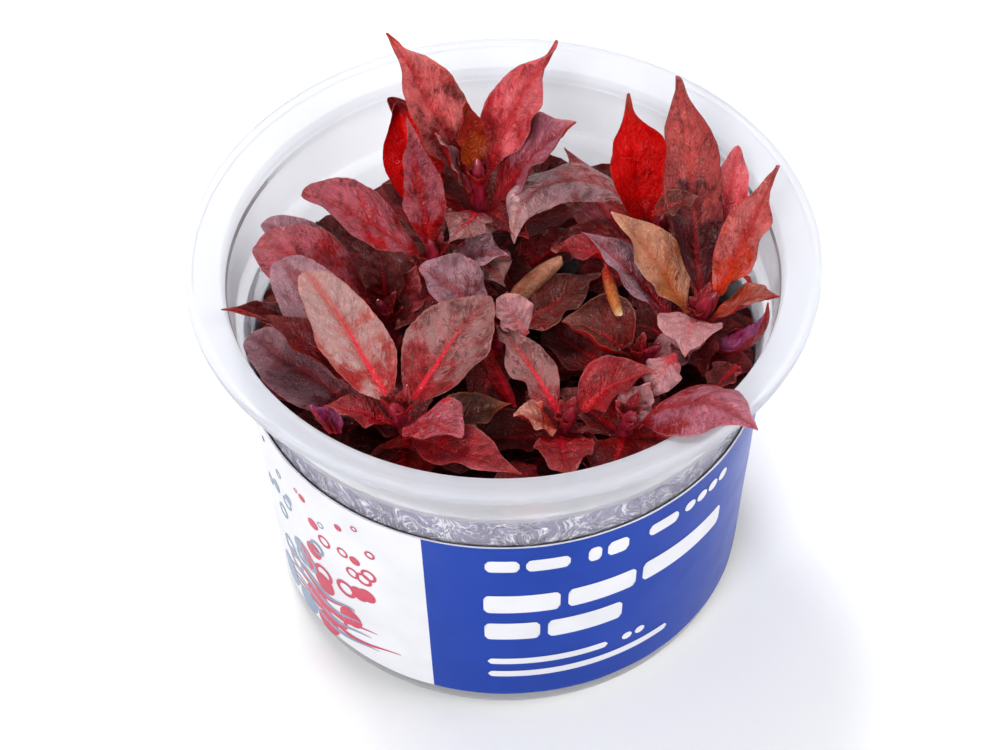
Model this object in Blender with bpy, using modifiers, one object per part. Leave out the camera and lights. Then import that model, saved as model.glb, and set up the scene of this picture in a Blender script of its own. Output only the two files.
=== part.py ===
"""A cup of red tissue-cultured aquarium plants.

A clear plastic cup with a wide snap rim stands on its flat base. A paper label is wrapped round its
wall, a bed of clear growing gel fills its bottom, and ten leafy stems stand on the gel. Lengths in the
tables are in millimetres and are turned into metres where a mesh is made. The origin is the middle of
the cup's underside, with +Z up.
"""
import math
from collections import namedtuple

import bmesh
import bpy
from mathutils import Matrix, Vector
from mathutils.bvhtree import BVHTree

MM = 0.001
MERGE_DISTANCE = 0.00005
GAP = 0.3

# Cup: a turned shell, widest at the rim
RIM_RADIUS = 50.0
RIM_HEIGHT = 68.0
LIP_DROP = 1.8
FLANGE_INNER_RADIUS = 44.5
FLANGE_SINK = 2.0
COLLAR_RADIUS = 43.6
COLLAR_DEPTH = 14.0
WALL_TOP_RADIUS = 41.9
WALL_TOP_DEPTH = 15.5
FOOT_RADIUS = 38.6
FOOT_ROUND = 1.6
WALL = 1.0
CUP_SIDES = 64

# Label: a paper band with its two ends a little apart at the back
LABEL_TOP = 46.0
LABEL_BOTTOM = 4.2
LABEL_THICK = 0.3
LABEL_OPENING_DEG = 5.0
LABEL_SEGMENTS = 72

# Gel: a low disc with a raised edge where it wets the wall
GEL_TOP = 15.0
GEL_CREEP = 1.6
GEL_SIDES = 48

# Stems: foot on the gel, crown where the top leaves spread
Stem = namedtuple("Stem", "name foot crown radius")
STEMS = (
    Stem("front_left", (-12.0, -17.0), (-16.5, -26.0, 59.0), 1.3),
    Stem("left", (-15.0, 1.0), (-19.0, -1.0, 54.0), 1.1),
    Stem("back_left", (-8.0, 10.0), (-11.0, 10.5, 55.0), 1.2),
    Stem("back", (-2.0, 17.0), (-3.5, 21.0, 62.0), 1.3),
    Stem("middle", (-2.0, -3.0), (-1.0, -2.5, 54.0), 1.1),
    Stem("front", (6.0, -16.0), (9.5, -23.5, 54.0), 1.2),
    Stem("right", (22.0, -1.0), (31.5, -3.0, 56.0), 1.4),
    Stem("back_right", (17.0, 10.0), (24.5, 12.5, 57.0), 1.2),
    Stem("front_right", (16.0, -16.0), (18.5, -29.0, 60.0), 1.3),
    Stem("inner_right", (10.0, -4.0), (21.5, -9.5, 52.0), 1.1),
)
STEM_LEAN_POWER = 1.8
STEM_FLARE = 1.15
STEM_TAPER = 0.3
STEM_POINTS = 7
BUD_LENGTH = 5.0
BUD_SWELL = 1.1

# Leaves: height up the stem, compass direction, rise at the base, bend over the length (down is plus),
# sweep to the side (anticlockwise is plus), length, width, cup (edges up is plus), and the finish
Leaf = namedtuple("Leaf", "stem height azimuth rise bend sweep length width cup finish")
LEAVES = (
    Leaf("front_left", 59, 123, 36, 27, 0, 27, 11, 12, "mauve"),
    Leaf("front_left", 56, 138, 28, 25, -20, 34, 12, 12, "mauve"),
    Leaf("front_left", 58, 55, 30, 33, 0, 24, 14, 20, "mauve"),
    Leaf("front_left", 58, 315, 50, 38, 0, 14, 10, 10, "mauve"),
    Leaf("front_left", 57, 182, 38, 23, 0, 11, 6, 15, "red"),
    Leaf("front_left", 54, 300, 38, 28, 30, 26, 9, 15, "red"),
    Leaf("front_left", 51, 150, 20, 20, -20, 30, 15, 12, "mauve"),
    Leaf("front_left", 52, 8, 21, 8, 0, 15, 8, 15, "olive"),
    Leaf("back_left", 55, 171, 47, 12, 18, 26, 13, 12, "mauve"),
    Leaf("back_left", 55, 109, 67, 0, 0, 24, 9, 15, "mauve"),
    Leaf("back_left", 53, 350, 55, 35, -30, 14, 9, 20, "dark"),
    Leaf("back", 61, 131, 54, -8, 30, 30, 12, 8, "red"),
    Leaf("back", 61, 53, 51, 0, -26, 26, 10, 15, "red"),
    Leaf("back", 60, 5, 60, 25, -12, 21, 13, 15, "mauve"),
    Leaf("back", 62, 100, 78, 0, 0, 14, 7, 10, "olive"),
    Leaf("back", 60, 190, 62, 5, 0, 13, 4, 15, "mauve"),
    Leaf("back", 57, 280, 62, 75, -35, 19, 12, -15, "dark"),
    Leaf("back", 52, 131, 44, 0, 15, 26, 15, 15, "dark"),
    Leaf("left", 54, 155, 38, 40, 0, 23, 14, 15, "mauve"),
    Leaf("left", 51, 145, 44, 35, 0, 26, 9, 15, "olive"),
    Leaf("left", 53, 95, 58, 0, 15, 12, 7, 20, "dark"),
    Leaf("left", 51, 60, 42, 0, 0, 10, 7, 20, "red"),
    Leaf("left", 48, 196, 36, -12, 30, 37, 8, 15, "red"),
    Leaf("middle", 54, 164, 55, 26, 0, 15, 12, 15, "mauve"),
    Leaf("middle", 52, 250, 62, 0, 0, 9, 6, 15, "mauve"),
    Leaf("middle", 50, 70, 34, -10, -60, 20, 5, 60, "olive"),
    Leaf("middle", 50, 30, 25, 20, 10, 19, 9, 15, "dark"),
    Leaf("front", 53, 124, 40, 40, 0, 19, 9, 15, "mauve"),
    Leaf("front", 52, 195, 52, 20, 0, 9, 7, 15, "red"),
    Leaf("front", 54, 35, 42, 25, -45, 15, 10, 25, "red"),
    Leaf("front", 51, 262, 42, 25, 20, 17, 9, 15, "dark"),
    Leaf("right", 56, 93, 40, 12, 3, 39, 11, 20, "dark"),
    Leaf("right", 56, 43, 53, -7, 0, 26, 8, 20, "red"),
    Leaf("right", 54, 340, 54, 12, -25, 18, 8, 15, "olive"),
    Leaf("right", 54, 133, 54, 22, 15, 21, 9, 15, "olive"),
    Leaf("right", 56, 246, 50, 60, 20, 13, 10, 10, "mauve"),
    Leaf("right", 52, 58, 52, 20, 10, 29, 8, 20, "red"),
    Leaf("right", 50, 316, 12, -70, 0, 22, 4, 20, "mauve"),
    Leaf("back_right", 57, 115, 64, 0, -14, 24, 11, 25, "red"),
    Leaf("back_right", 51, 128, 40, 8, 0, 22, 7, 15, "mauve"),
    Leaf("back_right", 55, 15, 68, 15, -40, 13, 7, 15, "dark"),
    Leaf("back_right", 55, 146, 72, 140, 40, 31, 11, -15, "dark"),
    Leaf("front_right", 59, 344, 56, 62, -40, 27, 12, -15, "red"),
    Leaf("front_right", 55, 50, 60, 20, 0, 8, 7, 20, "red"),
    Leaf("inner_right", 52, 165, 34, 20, 10, 13, 14, 35, "olive"),
    Leaf("inner_right", 50, 0, 30, 15, 20, 11, 8, 20, "dark"),
)
LEAF_STATIONS = (0.0, 0.1, 0.24, 0.42, 0.6, 0.76, 0.9)
LEAF_HALF_STEPS = (-1.0, -0.5, 0.0, 0.5, 1.0)
LEAF_THICK = 0.5
MIDRIB_STEPS = 12
PETIOLE_WIDTH = 1.2

# How far a leaf may give way to those laid before it, nearest place first
TURNS = (0, -4, 4, -8, 8, -12, 12, -18, 18, -26, 26)
LIFTS = (0, 4, -4, 8, -8, 14, -14)
SHORTENINGS = (1.0, 0.93, 0.86, 0.75, 0.65)

FINISHES = {
    "cup_plastic": ((0.90, 0.90, 0.95), 0.2),
    "label_paper": ((0.03, 0.10, 0.40), 0.45),
    "gel": ((0.70, 0.72, 0.68), 0.1),
    "stem": ((0.30, 0.03, 0.06), 0.4),
    "leaf_mauve": ((0.28, 0.09, 0.11), 0.35),
    "leaf_red": ((0.45, 0.03, 0.04), 0.3),
    "leaf_dark": ((0.12, 0.02, 0.03), 0.3),
    "leaf_olive": ((0.28, 0.11, 0.04), 0.4),
}


def clear_scene():
    for obj in list(bpy.data.objects):
        bpy.data.objects.remove(obj, do_unlink=True)


def new_collection(name):
    collection = bpy.data.collections.new(name)
    bpy.context.scene.collection.children.link(collection)
    return collection


def material(name):
    found = bpy.data.materials.get(name)
    if found:
        return found
    colour, roughness = FINISHES[name]
    made = bpy.data.materials.new(name)
    made.use_nodes = True
    shader = made.node_tree.nodes["Principled BSDF"]
    shader.inputs["Base Color"].default_value = (*colour, 1.0)
    shader.inputs["Roughness"].default_value = roughness
    shader.inputs["Metallic"].default_value = 0.0
    return made


def place(name, data, finish, collection):
    obj = bpy.data.objects.new(name, data)
    obj.data.materials.append(material(finish))
    collection.objects.link(obj)
    return obj


def turned(name, profile, sides, finish, collection):
    """Turn a profile of (radius, height) points about Z. It runs from the axis up its inner side,
    then down its outer side, and back to the axis."""
    mesh = bpy.data.meshes.new(name)
    points = [(radius * MM, 0.0, height * MM) for radius, height in profile]
    edges = [(i, i + 1) for i in range(len(points) - 1)]
    mesh.from_pydata(points, edges, [])
    obj = place(name, mesh, finish, collection)
    screw = obj.modifiers.new("turn", "SCREW")
    screw.steps = sides
    screw.render_steps = sides
    screw.use_merge_vertices = True
    screw.merge_threshold = MERGE_DISTANCE
    return obj


def wall_radius(height):
    """Outer radius of the tapering wall below the collar."""
    top = RIM_HEIGHT - WALL_TOP_DEPTH
    share = (height - FOOT_ROUND) / (top - FOOT_ROUND)
    return FOOT_RADIUS + (WALL_TOP_RADIUS - FOOT_RADIUS) * share


def make_cup(collection):
    collar_bottom = RIM_HEIGHT - COLLAR_DEPTH
    wall_top = RIM_HEIGHT - WALL_TOP_DEPTH
    crease = RIM_HEIGHT - FLANGE_SINK
    inside = [
        (0.0, WALL),
        (FOOT_RADIUS - WALL - FOOT_ROUND, WALL),
        (FOOT_RADIUS - WALL, WALL + FOOT_ROUND),
        (WALL_TOP_RADIUS - WALL, wall_top),
        (COLLAR_RADIUS - WALL, collar_bottom),
        (FLANGE_INNER_RADIUS - 0.5, crease - 1.2),
        (FLANGE_INNER_RADIUS, crease),
        (RIM_RADIUS - 1.5, RIM_HEIGHT - 0.1),
        (RIM_RADIUS - 0.7, RIM_HEIGHT),
    ]
    outside = [
        (RIM_RADIUS, RIM_HEIGHT - 0.6),
        (RIM_RADIUS, RIM_HEIGHT - LIP_DROP),
        (RIM_RADIUS - WALL, RIM_HEIGHT - LIP_DROP),
        (RIM_RADIUS - WALL - 0.4, RIM_HEIGHT - 1.2),
        (COLLAR_RADIUS + 0.9, crease - 1.3),
        (COLLAR_RADIUS + 0.1, crease - 2.2),
        (COLLAR_RADIUS, collar_bottom),
        (WALL_TOP_RADIUS, wall_top),
        (FOOT_RADIUS, FOOT_ROUND),
        (FOOT_RADIUS - 0.5, 0.5),
        (FOOT_RADIUS - FOOT_ROUND, 0.0),
        (0.0, 0.0),
    ]
    return turned("cup", inside + outside, CUP_SIDES, "cup_plastic", collection)


def make_label(collection):
    """A strip of cone just off the wall, thickened outwards."""
    bm = bmesh.new()
    ends = []
    for height in (LABEL_TOP, LABEL_BOTTOM):
        ends.append(bm.verts.new(((wall_radius(height) + GAP) * MM, 0.0, height * MM)))
    edge = bm.edges.new(ends)
    start = math.radians(90.0 + LABEL_OPENING_DEG / 2)
    sweep = math.radians(360.0 - LABEL_OPENING_DEG)
    bmesh.ops.rotate(bm, verts=ends, matrix=Matrix.Rotation(start, 3, "Z"))
    bmesh.ops.spin(bm, geom=ends + [edge], axis=(0, 0, 1), cent=(0, 0, 0), angle=sweep,
                   steps=LABEL_SEGMENTS)
    bmesh.ops.recalc_face_normals(bm, faces=bm.faces)
    first = bm.faces[:][0]
    if first.normal.dot(first.calc_center_median()) < 0:
        bmesh.ops.reverse_faces(bm, faces=bm.faces)
    mesh = bpy.data.meshes.new("label")
    bm.to_mesh(mesh)
    bm.free()
    obj = place("label", mesh, "label_paper", collection)
    thicken = obj.modifiers.new("paper", "SOLIDIFY")
    thicken.thickness = LABEL_THICK * MM
    thicken.offset = 1.0
    return obj


def make_gel(collection):
    """The set gel: flat on top, creeping up at the wall."""
    bottom = WALL + GAP
    inner = FOOT_RADIUS - WALL - GAP
    edge = wall_radius(GEL_TOP + GEL_CREEP) - WALL - GAP
    profile = [
        (0.0, GEL_TOP),
        (edge - 4.0, GEL_TOP),
        (edge - 1.4, GEL_TOP + GEL_CREEP * 0.3),
        (edge, GEL_TOP + GEL_CREEP),
        (inner, bottom + FOOT_ROUND),
        (inner - FOOT_ROUND, bottom),
        (0.0, bottom),
    ]
    return turned("gel", profile, GEL_SIDES, "gel", collection)


def stem_point(stem, height):
    """Centre of a stem at a height: it stands up from its foot and leans more towards its crown."""
    base = GEL_TOP + GAP
    share = (height - base) / (stem.crown[2] - base)
    lean = max(share, 0.0) ** STEM_LEAN_POWER
    x = stem.foot[0] + (stem.crown[0] - stem.foot[0]) * lean
    y = stem.foot[1] + (stem.crown[1] - stem.foot[1]) * lean
    return Vector((x, y, height))


def make_stem(stem, collection):
    """A tapering stem with a pointed bud at its end."""
    base = GEL_TOP + GAP
    crown = stem.crown[2]
    heights = [base + (crown - base) * i / (STEM_POINTS - 1) for i in range(STEM_POINTS)]
    spans = [(height, STEM_FLARE - STEM_TAPER * i / (STEM_POINTS - 1)) for i, height in enumerate(heights)]
    spans += [(crown + BUD_LENGTH * 0.35, BUD_SWELL), (crown + BUD_LENGTH * 0.75, 0.8), (crown + BUD_LENGTH, 0.15)]
    curve = bpy.data.curves.new(f"stem_{stem.name}", "CURVE")
    curve.dimensions = "3D"
    curve.bevel_depth = stem.radius * MM
    curve.bevel_resolution = 1
    curve.use_fill_caps = True
    spline = curve.splines.new("POLY")
    spline.points.add(len(spans) - 1)
    for point, (height, swell) in zip(spline.points, spans):
        point.co = (*(stem_point(stem, height) * MM), 1.0)
        point.radius = swell
    return place(f"stem_{stem.name}", curve, "stem", collection)


def leaf_half_width(leaf, share):
    """Half the blade's width at a share of its length: a short stalk, broad below the middle,
    drawn out to a point."""
    stalk = PETIOLE_WIDTH / 2
    blade = max(share - 0.08, 0.0) / 0.92
    swell = math.sin(math.pi * blade ** 0.82) ** 1.15 if 0 < blade < 1 else 0.0
    return stalk * (1 - share) + leaf.width / 2 * swell


def midrib(leaf, root, share):
    """Point on the midrib at a share of its length, with its bearing and rise there in radians."""
    point = Vector(root)
    step = leaf.length * share / MIDRIB_STEPS
    for i in range(MIDRIB_STEPS):
        reached = share * (i + 0.5) / MIDRIB_STEPS
        bearing = math.radians(leaf.azimuth + leaf.sweep * reached)
        rise = math.radians(leaf.rise - leaf.bend * reached)
        level = step * math.cos(rise)
        point += Vector((level * math.cos(bearing), level * math.sin(bearing), step * math.sin(rise)))
    bearing = math.radians(leaf.azimuth + leaf.sweep * share)
    rise = math.radians(leaf.rise - leaf.bend * share)
    return point, bearing, rise


def leaf_ring(leaf, root, share, margin):
    """Points round the blade at a share of its length: a thin lens, curved up or down across."""
    middle, bearing, rise = midrib(leaf, root, share)
    turn = Matrix.Rotation(bearing, 3, "Z")
    ahead = turn @ Vector((math.cos(rise), 0.0, math.sin(rise)))
    side = turn @ Vector((0.0, 1.0, 0.0))
    above = ahead.cross(side)
    half = leaf_half_width(leaf, share) + margin
    arc = math.radians(2 * leaf.cup) or 0.001

    def across(step, offset):
        tilt = arc * step
        curled = side * math.sin(tilt) + above * (1 - math.cos(tilt))
        normal = above * math.cos(tilt) - side * math.sin(tilt)
        return middle + curled * (half / arc) + normal * offset

    thick = LEAF_THICK * (1.4 - share) / 2 + margin
    upper = [across(step, thick * (1 - step * step)) for step in LEAF_HALF_STEPS]
    lower = [across(step, -thick * (1 - step * step)) for step in LEAF_HALF_STEPS[-2:0:-1]]
    return upper + lower


def leaf_shape(leaf, stem, margin=0.0):
    """Points and faces of a whole leaf, which starts a little off its stem."""
    azimuth = math.radians(leaf.azimuth)
    clear = stem.radius * STEM_FLARE + GAP
    root = stem_point(stem, leaf.height) + Vector((math.cos(azimuth), math.sin(azimuth), 0.0)) * clear
    points = []
    for share in LEAF_STATIONS:
        points += leaf_ring(leaf, root, share, margin)
    ring = len(points) // len(LEAF_STATIONS)
    tip = leaf_ring(leaf, root, 1.0, 0.0)
    points.append((tip[0] + tip[ring // 2]) / 2)
    faces = [tuple(range(ring))]
    for row in range(len(LEAF_STATIONS) - 1):
        low = row * ring
        for i in range(ring):
            j = (i + 1) % ring
            faces.append((low + i, low + ring + i, low + ring + j, low + j))
    last = (len(LEAF_STATIONS) - 1) * ring
    for i in range(ring):
        faces.append((last + i, len(points) - 1, last + (i + 1) % ring))
    return points, faces


def outline_of(obj):
    """Points in millimetres and faces of a finished object."""
    evaluated = obj.evaluated_get(bpy.context.evaluated_depsgraph_get())
    mesh = evaluated.to_mesh()
    points = [(obj.matrix_world @ vertex.co) / MM for vertex in mesh.vertices]
    faces = [tuple(face.vertices) for face in mesh.polygons]
    evaluated.to_mesh_clear()
    return points, faces


def ways_to_lie(leaf):
    """The leaf as it wants to lie, then turned, lifted or shortened by more and more."""
    ways = []
    for scale in SHORTENINGS:
        for lift in LIFTS:
            for turn in TURNS:
                effort = abs(turn) + 1.5 * abs(lift) + 90 * (1 - scale)
                moved = leaf._replace(azimuth=leaf.azimuth + turn, rise=leaf.rise + lift,
                                      length=leaf.length * scale, width=leaf.width * scale)
                ways.append((effort, moved))
    ways.sort(key=lambda way: way[0])
    return [moved for effort, moved in ways]


def lay_leaf(leaf, stem, laid_points, laid_faces):
    """The first way to lie that touches nothing laid before it."""
    laid = BVHTree.FromPolygons(laid_points, laid_faces)
    for moved in ways_to_lie(leaf):
        if not BVHTree.FromPolygons(*leaf_shape(moved, stem, GAP / 2)).overlap(laid):
            return moved
    return leaf


def make_leaf(name, leaf, stem, collection):
    points, faces = leaf_shape(leaf, stem)
    mesh = bpy.data.meshes.new(name)
    mesh.from_pydata([point * MM for point in points], [], faces)
    bm = bmesh.new()
    bm.from_mesh(mesh)
    bmesh.ops.recalc_face_normals(bm, faces=bm.faces)
    bm.to_mesh(mesh)
    bm.free()
    return place(name, mesh, f"leaf_{leaf.finish}", collection)


def make_leaves(stems, obstacles, collection):
    """Lay the longest leaves first, and let each later one give way to those before it."""
    laid_points = []
    laid_faces = []

    def add(points, faces):
        first = len(laid_points)
        laid_points.extend(points)
        laid_faces.extend(tuple(first + index for index in face) for face in faces)

    for obj in obstacles:
        add(*outline_of(obj))
    count = {name: 0 for name in stems}
    names = []
    for leaf in LEAVES:
        count[leaf.stem] += 1
        names.append(f"leaf_{leaf.stem}_{count[leaf.stem]}")
    for leaf, name in sorted(zip(LEAVES, names), key=lambda pair: -pair[0].length):
        stem = stems[leaf.stem]
        moved = lay_leaf(leaf, stem, laid_points, laid_faces)
        make_leaf(name, moved, stem, collection)
        add(*leaf_shape(moved, stem))


def shade(collection):
    """Round pieces are smooth, with their real edges left sharp."""
    for obj in collection.objects:
        if obj.type == "MESH":
            obj.data.shade_smooth()
            obj.data.set_sharp_from_angle(angle=math.radians(40))


def main():
    clear_scene()
    collection = new_collection("alternanthera_cup")
    solids = [make_cup(collection), make_label(collection), make_gel(collection)]
    solids += [make_stem(stem, collection) for stem in STEMS]
    bpy.context.view_layer.update()
    make_leaves({stem.name: stem for stem in STEMS}, solids, collection)
    shade(collection)


main()
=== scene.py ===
"""The finished look of a cup of red tissue-cultured aquarium plants.

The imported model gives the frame. A finer piece stands for each of its solids, in the same place: a turned
milky cup, a printed band, set gel, ribbed stems and thin curved leaves. Small young and lower leaves fill
the tuft. Lengths are millimetres until a mesh is made, and angles in the tables are degrees.
"""

import logging
import math
from dataclasses import dataclass, field
from enum import Enum

import bpy
import numpy as np
from mathutils import Matrix, Vector


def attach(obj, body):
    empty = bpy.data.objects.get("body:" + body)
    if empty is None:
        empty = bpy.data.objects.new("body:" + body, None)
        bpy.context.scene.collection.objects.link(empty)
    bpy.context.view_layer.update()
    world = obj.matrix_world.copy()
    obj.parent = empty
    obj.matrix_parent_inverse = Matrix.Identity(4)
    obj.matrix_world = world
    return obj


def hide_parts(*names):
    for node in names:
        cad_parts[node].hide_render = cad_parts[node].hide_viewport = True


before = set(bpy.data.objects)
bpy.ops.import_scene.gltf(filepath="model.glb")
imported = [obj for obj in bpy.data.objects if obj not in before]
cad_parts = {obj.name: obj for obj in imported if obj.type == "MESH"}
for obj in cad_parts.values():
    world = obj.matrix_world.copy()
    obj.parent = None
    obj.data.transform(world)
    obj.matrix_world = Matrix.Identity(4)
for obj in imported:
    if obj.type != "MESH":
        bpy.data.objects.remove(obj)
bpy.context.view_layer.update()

log = logging.getLogger("red_plant_cup")

MM = 0.001
BODY = "root"
SPAN_SCALE = 0.01
Colour = tuple[float, float, float]
Socket = bpy.types.NodeSocket


def smooth_step(value: np.ndarray, low: float, high: float) -> np.ndarray:
    """Rise smoothly from 0 to 1 between two values.

    Args:
        value: Where to read the rise.
        low: The value at which the rise starts.
        high: The value at which it ends.

    Returns:
        The rise at each value.
    """
    share = np.clip((value - low) / (high - low), 0.0, 1.0)
    return share * share * (3.0 - 2.0 * share)


def grid_faces(rows: int, columns: int, closed: bool = False) -> np.ndarray:
    """Number the four-sided faces of a grid of points.

    Args:
        rows: Rows of points.
        columns: Points in a row.
        closed: Whether each row closes on itself.

    Returns:
        One row of four point numbers for each face.
    """
    row = np.arange(rows - 1)[:, None] * columns
    column = np.arange(columns if closed else columns - 1)[None, :]
    after = (column + 1) % columns
    return np.stack([row + column, row + after, row + columns + after, row + columns + column], -1).reshape(-1, 4)


@dataclass
class Draft:
    """Points, faces and surface layouts that gather until they become one mesh."""

    points: list[np.ndarray] = field(default_factory=list)
    shares: list[np.ndarray] = field(default_factory=list)
    spans: list[np.ndarray] = field(default_factory=list)
    faces: list[tuple[int, ...]] = field(default_factory=list)
    slots: list[int] = field(default_factory=list)
    count: int = 0

    def add(self, points: np.ndarray, share: np.ndarray, span: np.ndarray) -> int:
        """Take in points with their two layouts.

        Args:
            points: Places in millimetres.
            share: Share across and share along, from 0 to 1.
            span: Millimetres across and along.

        Returns:
            The number of the first new point.
        """
        first = self.count
        self.points.append(points.reshape(-1, 3))
        self.shares.append(share.reshape(-1, 2))
        self.spans.append(span.reshape(-1, 2) * SPAN_SCALE)
        self.count += len(self.points[-1])
        return first

    def cover(self, faces: np.ndarray, slot: int = 0) -> None:
        """Add faces of one material slot."""
        self.faces.extend(map(tuple, faces.tolist()))
        self.slots.extend([slot] * len(faces))

    def sheet(self, upper: np.ndarray, lower: np.ndarray, share: np.ndarray, span: np.ndarray,
              upper_slot: int = 0, lower_slot: int = 1) -> None:
        """Add a thin closed sheet whose two faces share the points along its border.

        Args:
            upper: Rows and columns of points of the upper face.
            lower: The same points of the lower face.
            share: Share across and along at each point.
            span: Millimetres across and along at each point.
            upper_slot: Material slot of the upper face.
            lower_slot: Material slot of the lower face.
        """
        rows, columns = upper.shape[:2]
        first = self.add(upper, share, span)
        numbers = np.arange(rows * columns).reshape(rows, columns) + first
        beneath = numbers.copy()
        inside = (slice(1, -1), slice(1, -1))
        start = self.add(lower[inside], share[inside], span[inside])
        beneath[inside] = np.arange((rows - 2) * (columns - 2)).reshape(rows - 2, columns - 2) + start
        faces = grid_faces(rows, columns)
        self.cover(numbers.reshape(-1)[faces], upper_slot)
        self.cover(beneath.reshape(-1)[faces][:, ::-1], lower_slot)

    def tube(self, path: np.ndarray, radii: np.ndarray, sides: int, ridges: int = 0,
             ridge: float = 0.0, slot: int = 0) -> None:
        """Add a closed tube along a path.

        Args:
            path: Points of the centre line.
            radii: Radius at each point.
            sides: Points round the tube.
            ridges: How many ridges run along it.
            ridge: Height of a ridge as a share of the radius.
            slot: Material slot.
        """
        ahead = np.gradient(path, axis=0)
        ahead /= np.linalg.norm(ahead, axis=1, keepdims=True)
        aside = np.cross(ahead, np.array([0.3, 1.0, 0.1]))
        aside /= np.linalg.norm(aside, axis=1, keepdims=True)
        above = np.cross(ahead, aside)
        angle = np.linspace(0.0, 2 * math.pi, sides, endpoint=False)
        reach = radii[:, None] * (1.0 + ridge * np.cos(ridges * angle)[None, :])
        round_it = aside[:, None] * np.cos(angle)[None, :, None] + above[:, None] * np.sin(angle)[None, :, None]
        points = path[:, None] + round_it * reach[..., None]
        along = np.concatenate([[0.0], np.cumsum(np.linalg.norm(np.diff(path, axis=0), axis=1))])
        across, down = np.meshgrid(angle / (2 * math.pi), along / max(along[-1], 1e-6))
        span = np.stack([across * 2 * math.pi * radii[:, None], np.broadcast_to(along[:, None], across.shape)], -1)
        first = self.add(points, np.stack([across, down], -1), span)
        self.cover(grid_faces(len(path), sides, closed=True) + first, slot)
        ring = np.arange(sides)
        self.cover((ring[::-1] + first)[None, :], slot)
        self.cover((ring + first + (len(path) - 1) * sides)[None, :], slot)

    def build(self, name: str, materials: list[bpy.types.Material], slot: str,
              replaces: tuple[str, ...] = ()) -> bpy.types.Object:
        """Make the mesh object and fasten it to the frame.

        Args:
            name: The piece's name.
            materials: Its materials in slot order.
            slot: The record's material slot; not used.
            replaces: The frame's nodes that it stands for.

        Returns:
            The finished object.
        """
        mesh = bpy.data.meshes.new(name)
        mesh.from_pydata((np.concatenate(self.points) * MM).tolist(), [], self.faces)
        corners = np.zeros(len(mesh.loops), np.int32)
        mesh.loops.foreach_get("vertex_index", corners)
        for layout, values in (("share", self.shares), ("span", self.spans)):
            layer = mesh.uv_layers.new(name=layout)
            layer.uv.foreach_set("vector", np.concatenate(values)[corners].astype(np.float32).ravel())
        for finish in materials:
            mesh.materials.append(finish)
        mesh.polygons.foreach_set("material_index", np.array(self.slots, np.int32))
        mesh.shade_smooth()
        mesh.set_sharp_from_angle(angle=math.radians(50.0))
        mesh.update()
        piece = bpy.data.objects.new(name, mesh)
        bpy.context.scene.collection.objects.link(piece)
        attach(piece, BODY)
        if replaces:
            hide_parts(*replaces)
        log.info("%s: %d faces", name, len(self.faces))
        return piece


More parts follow.
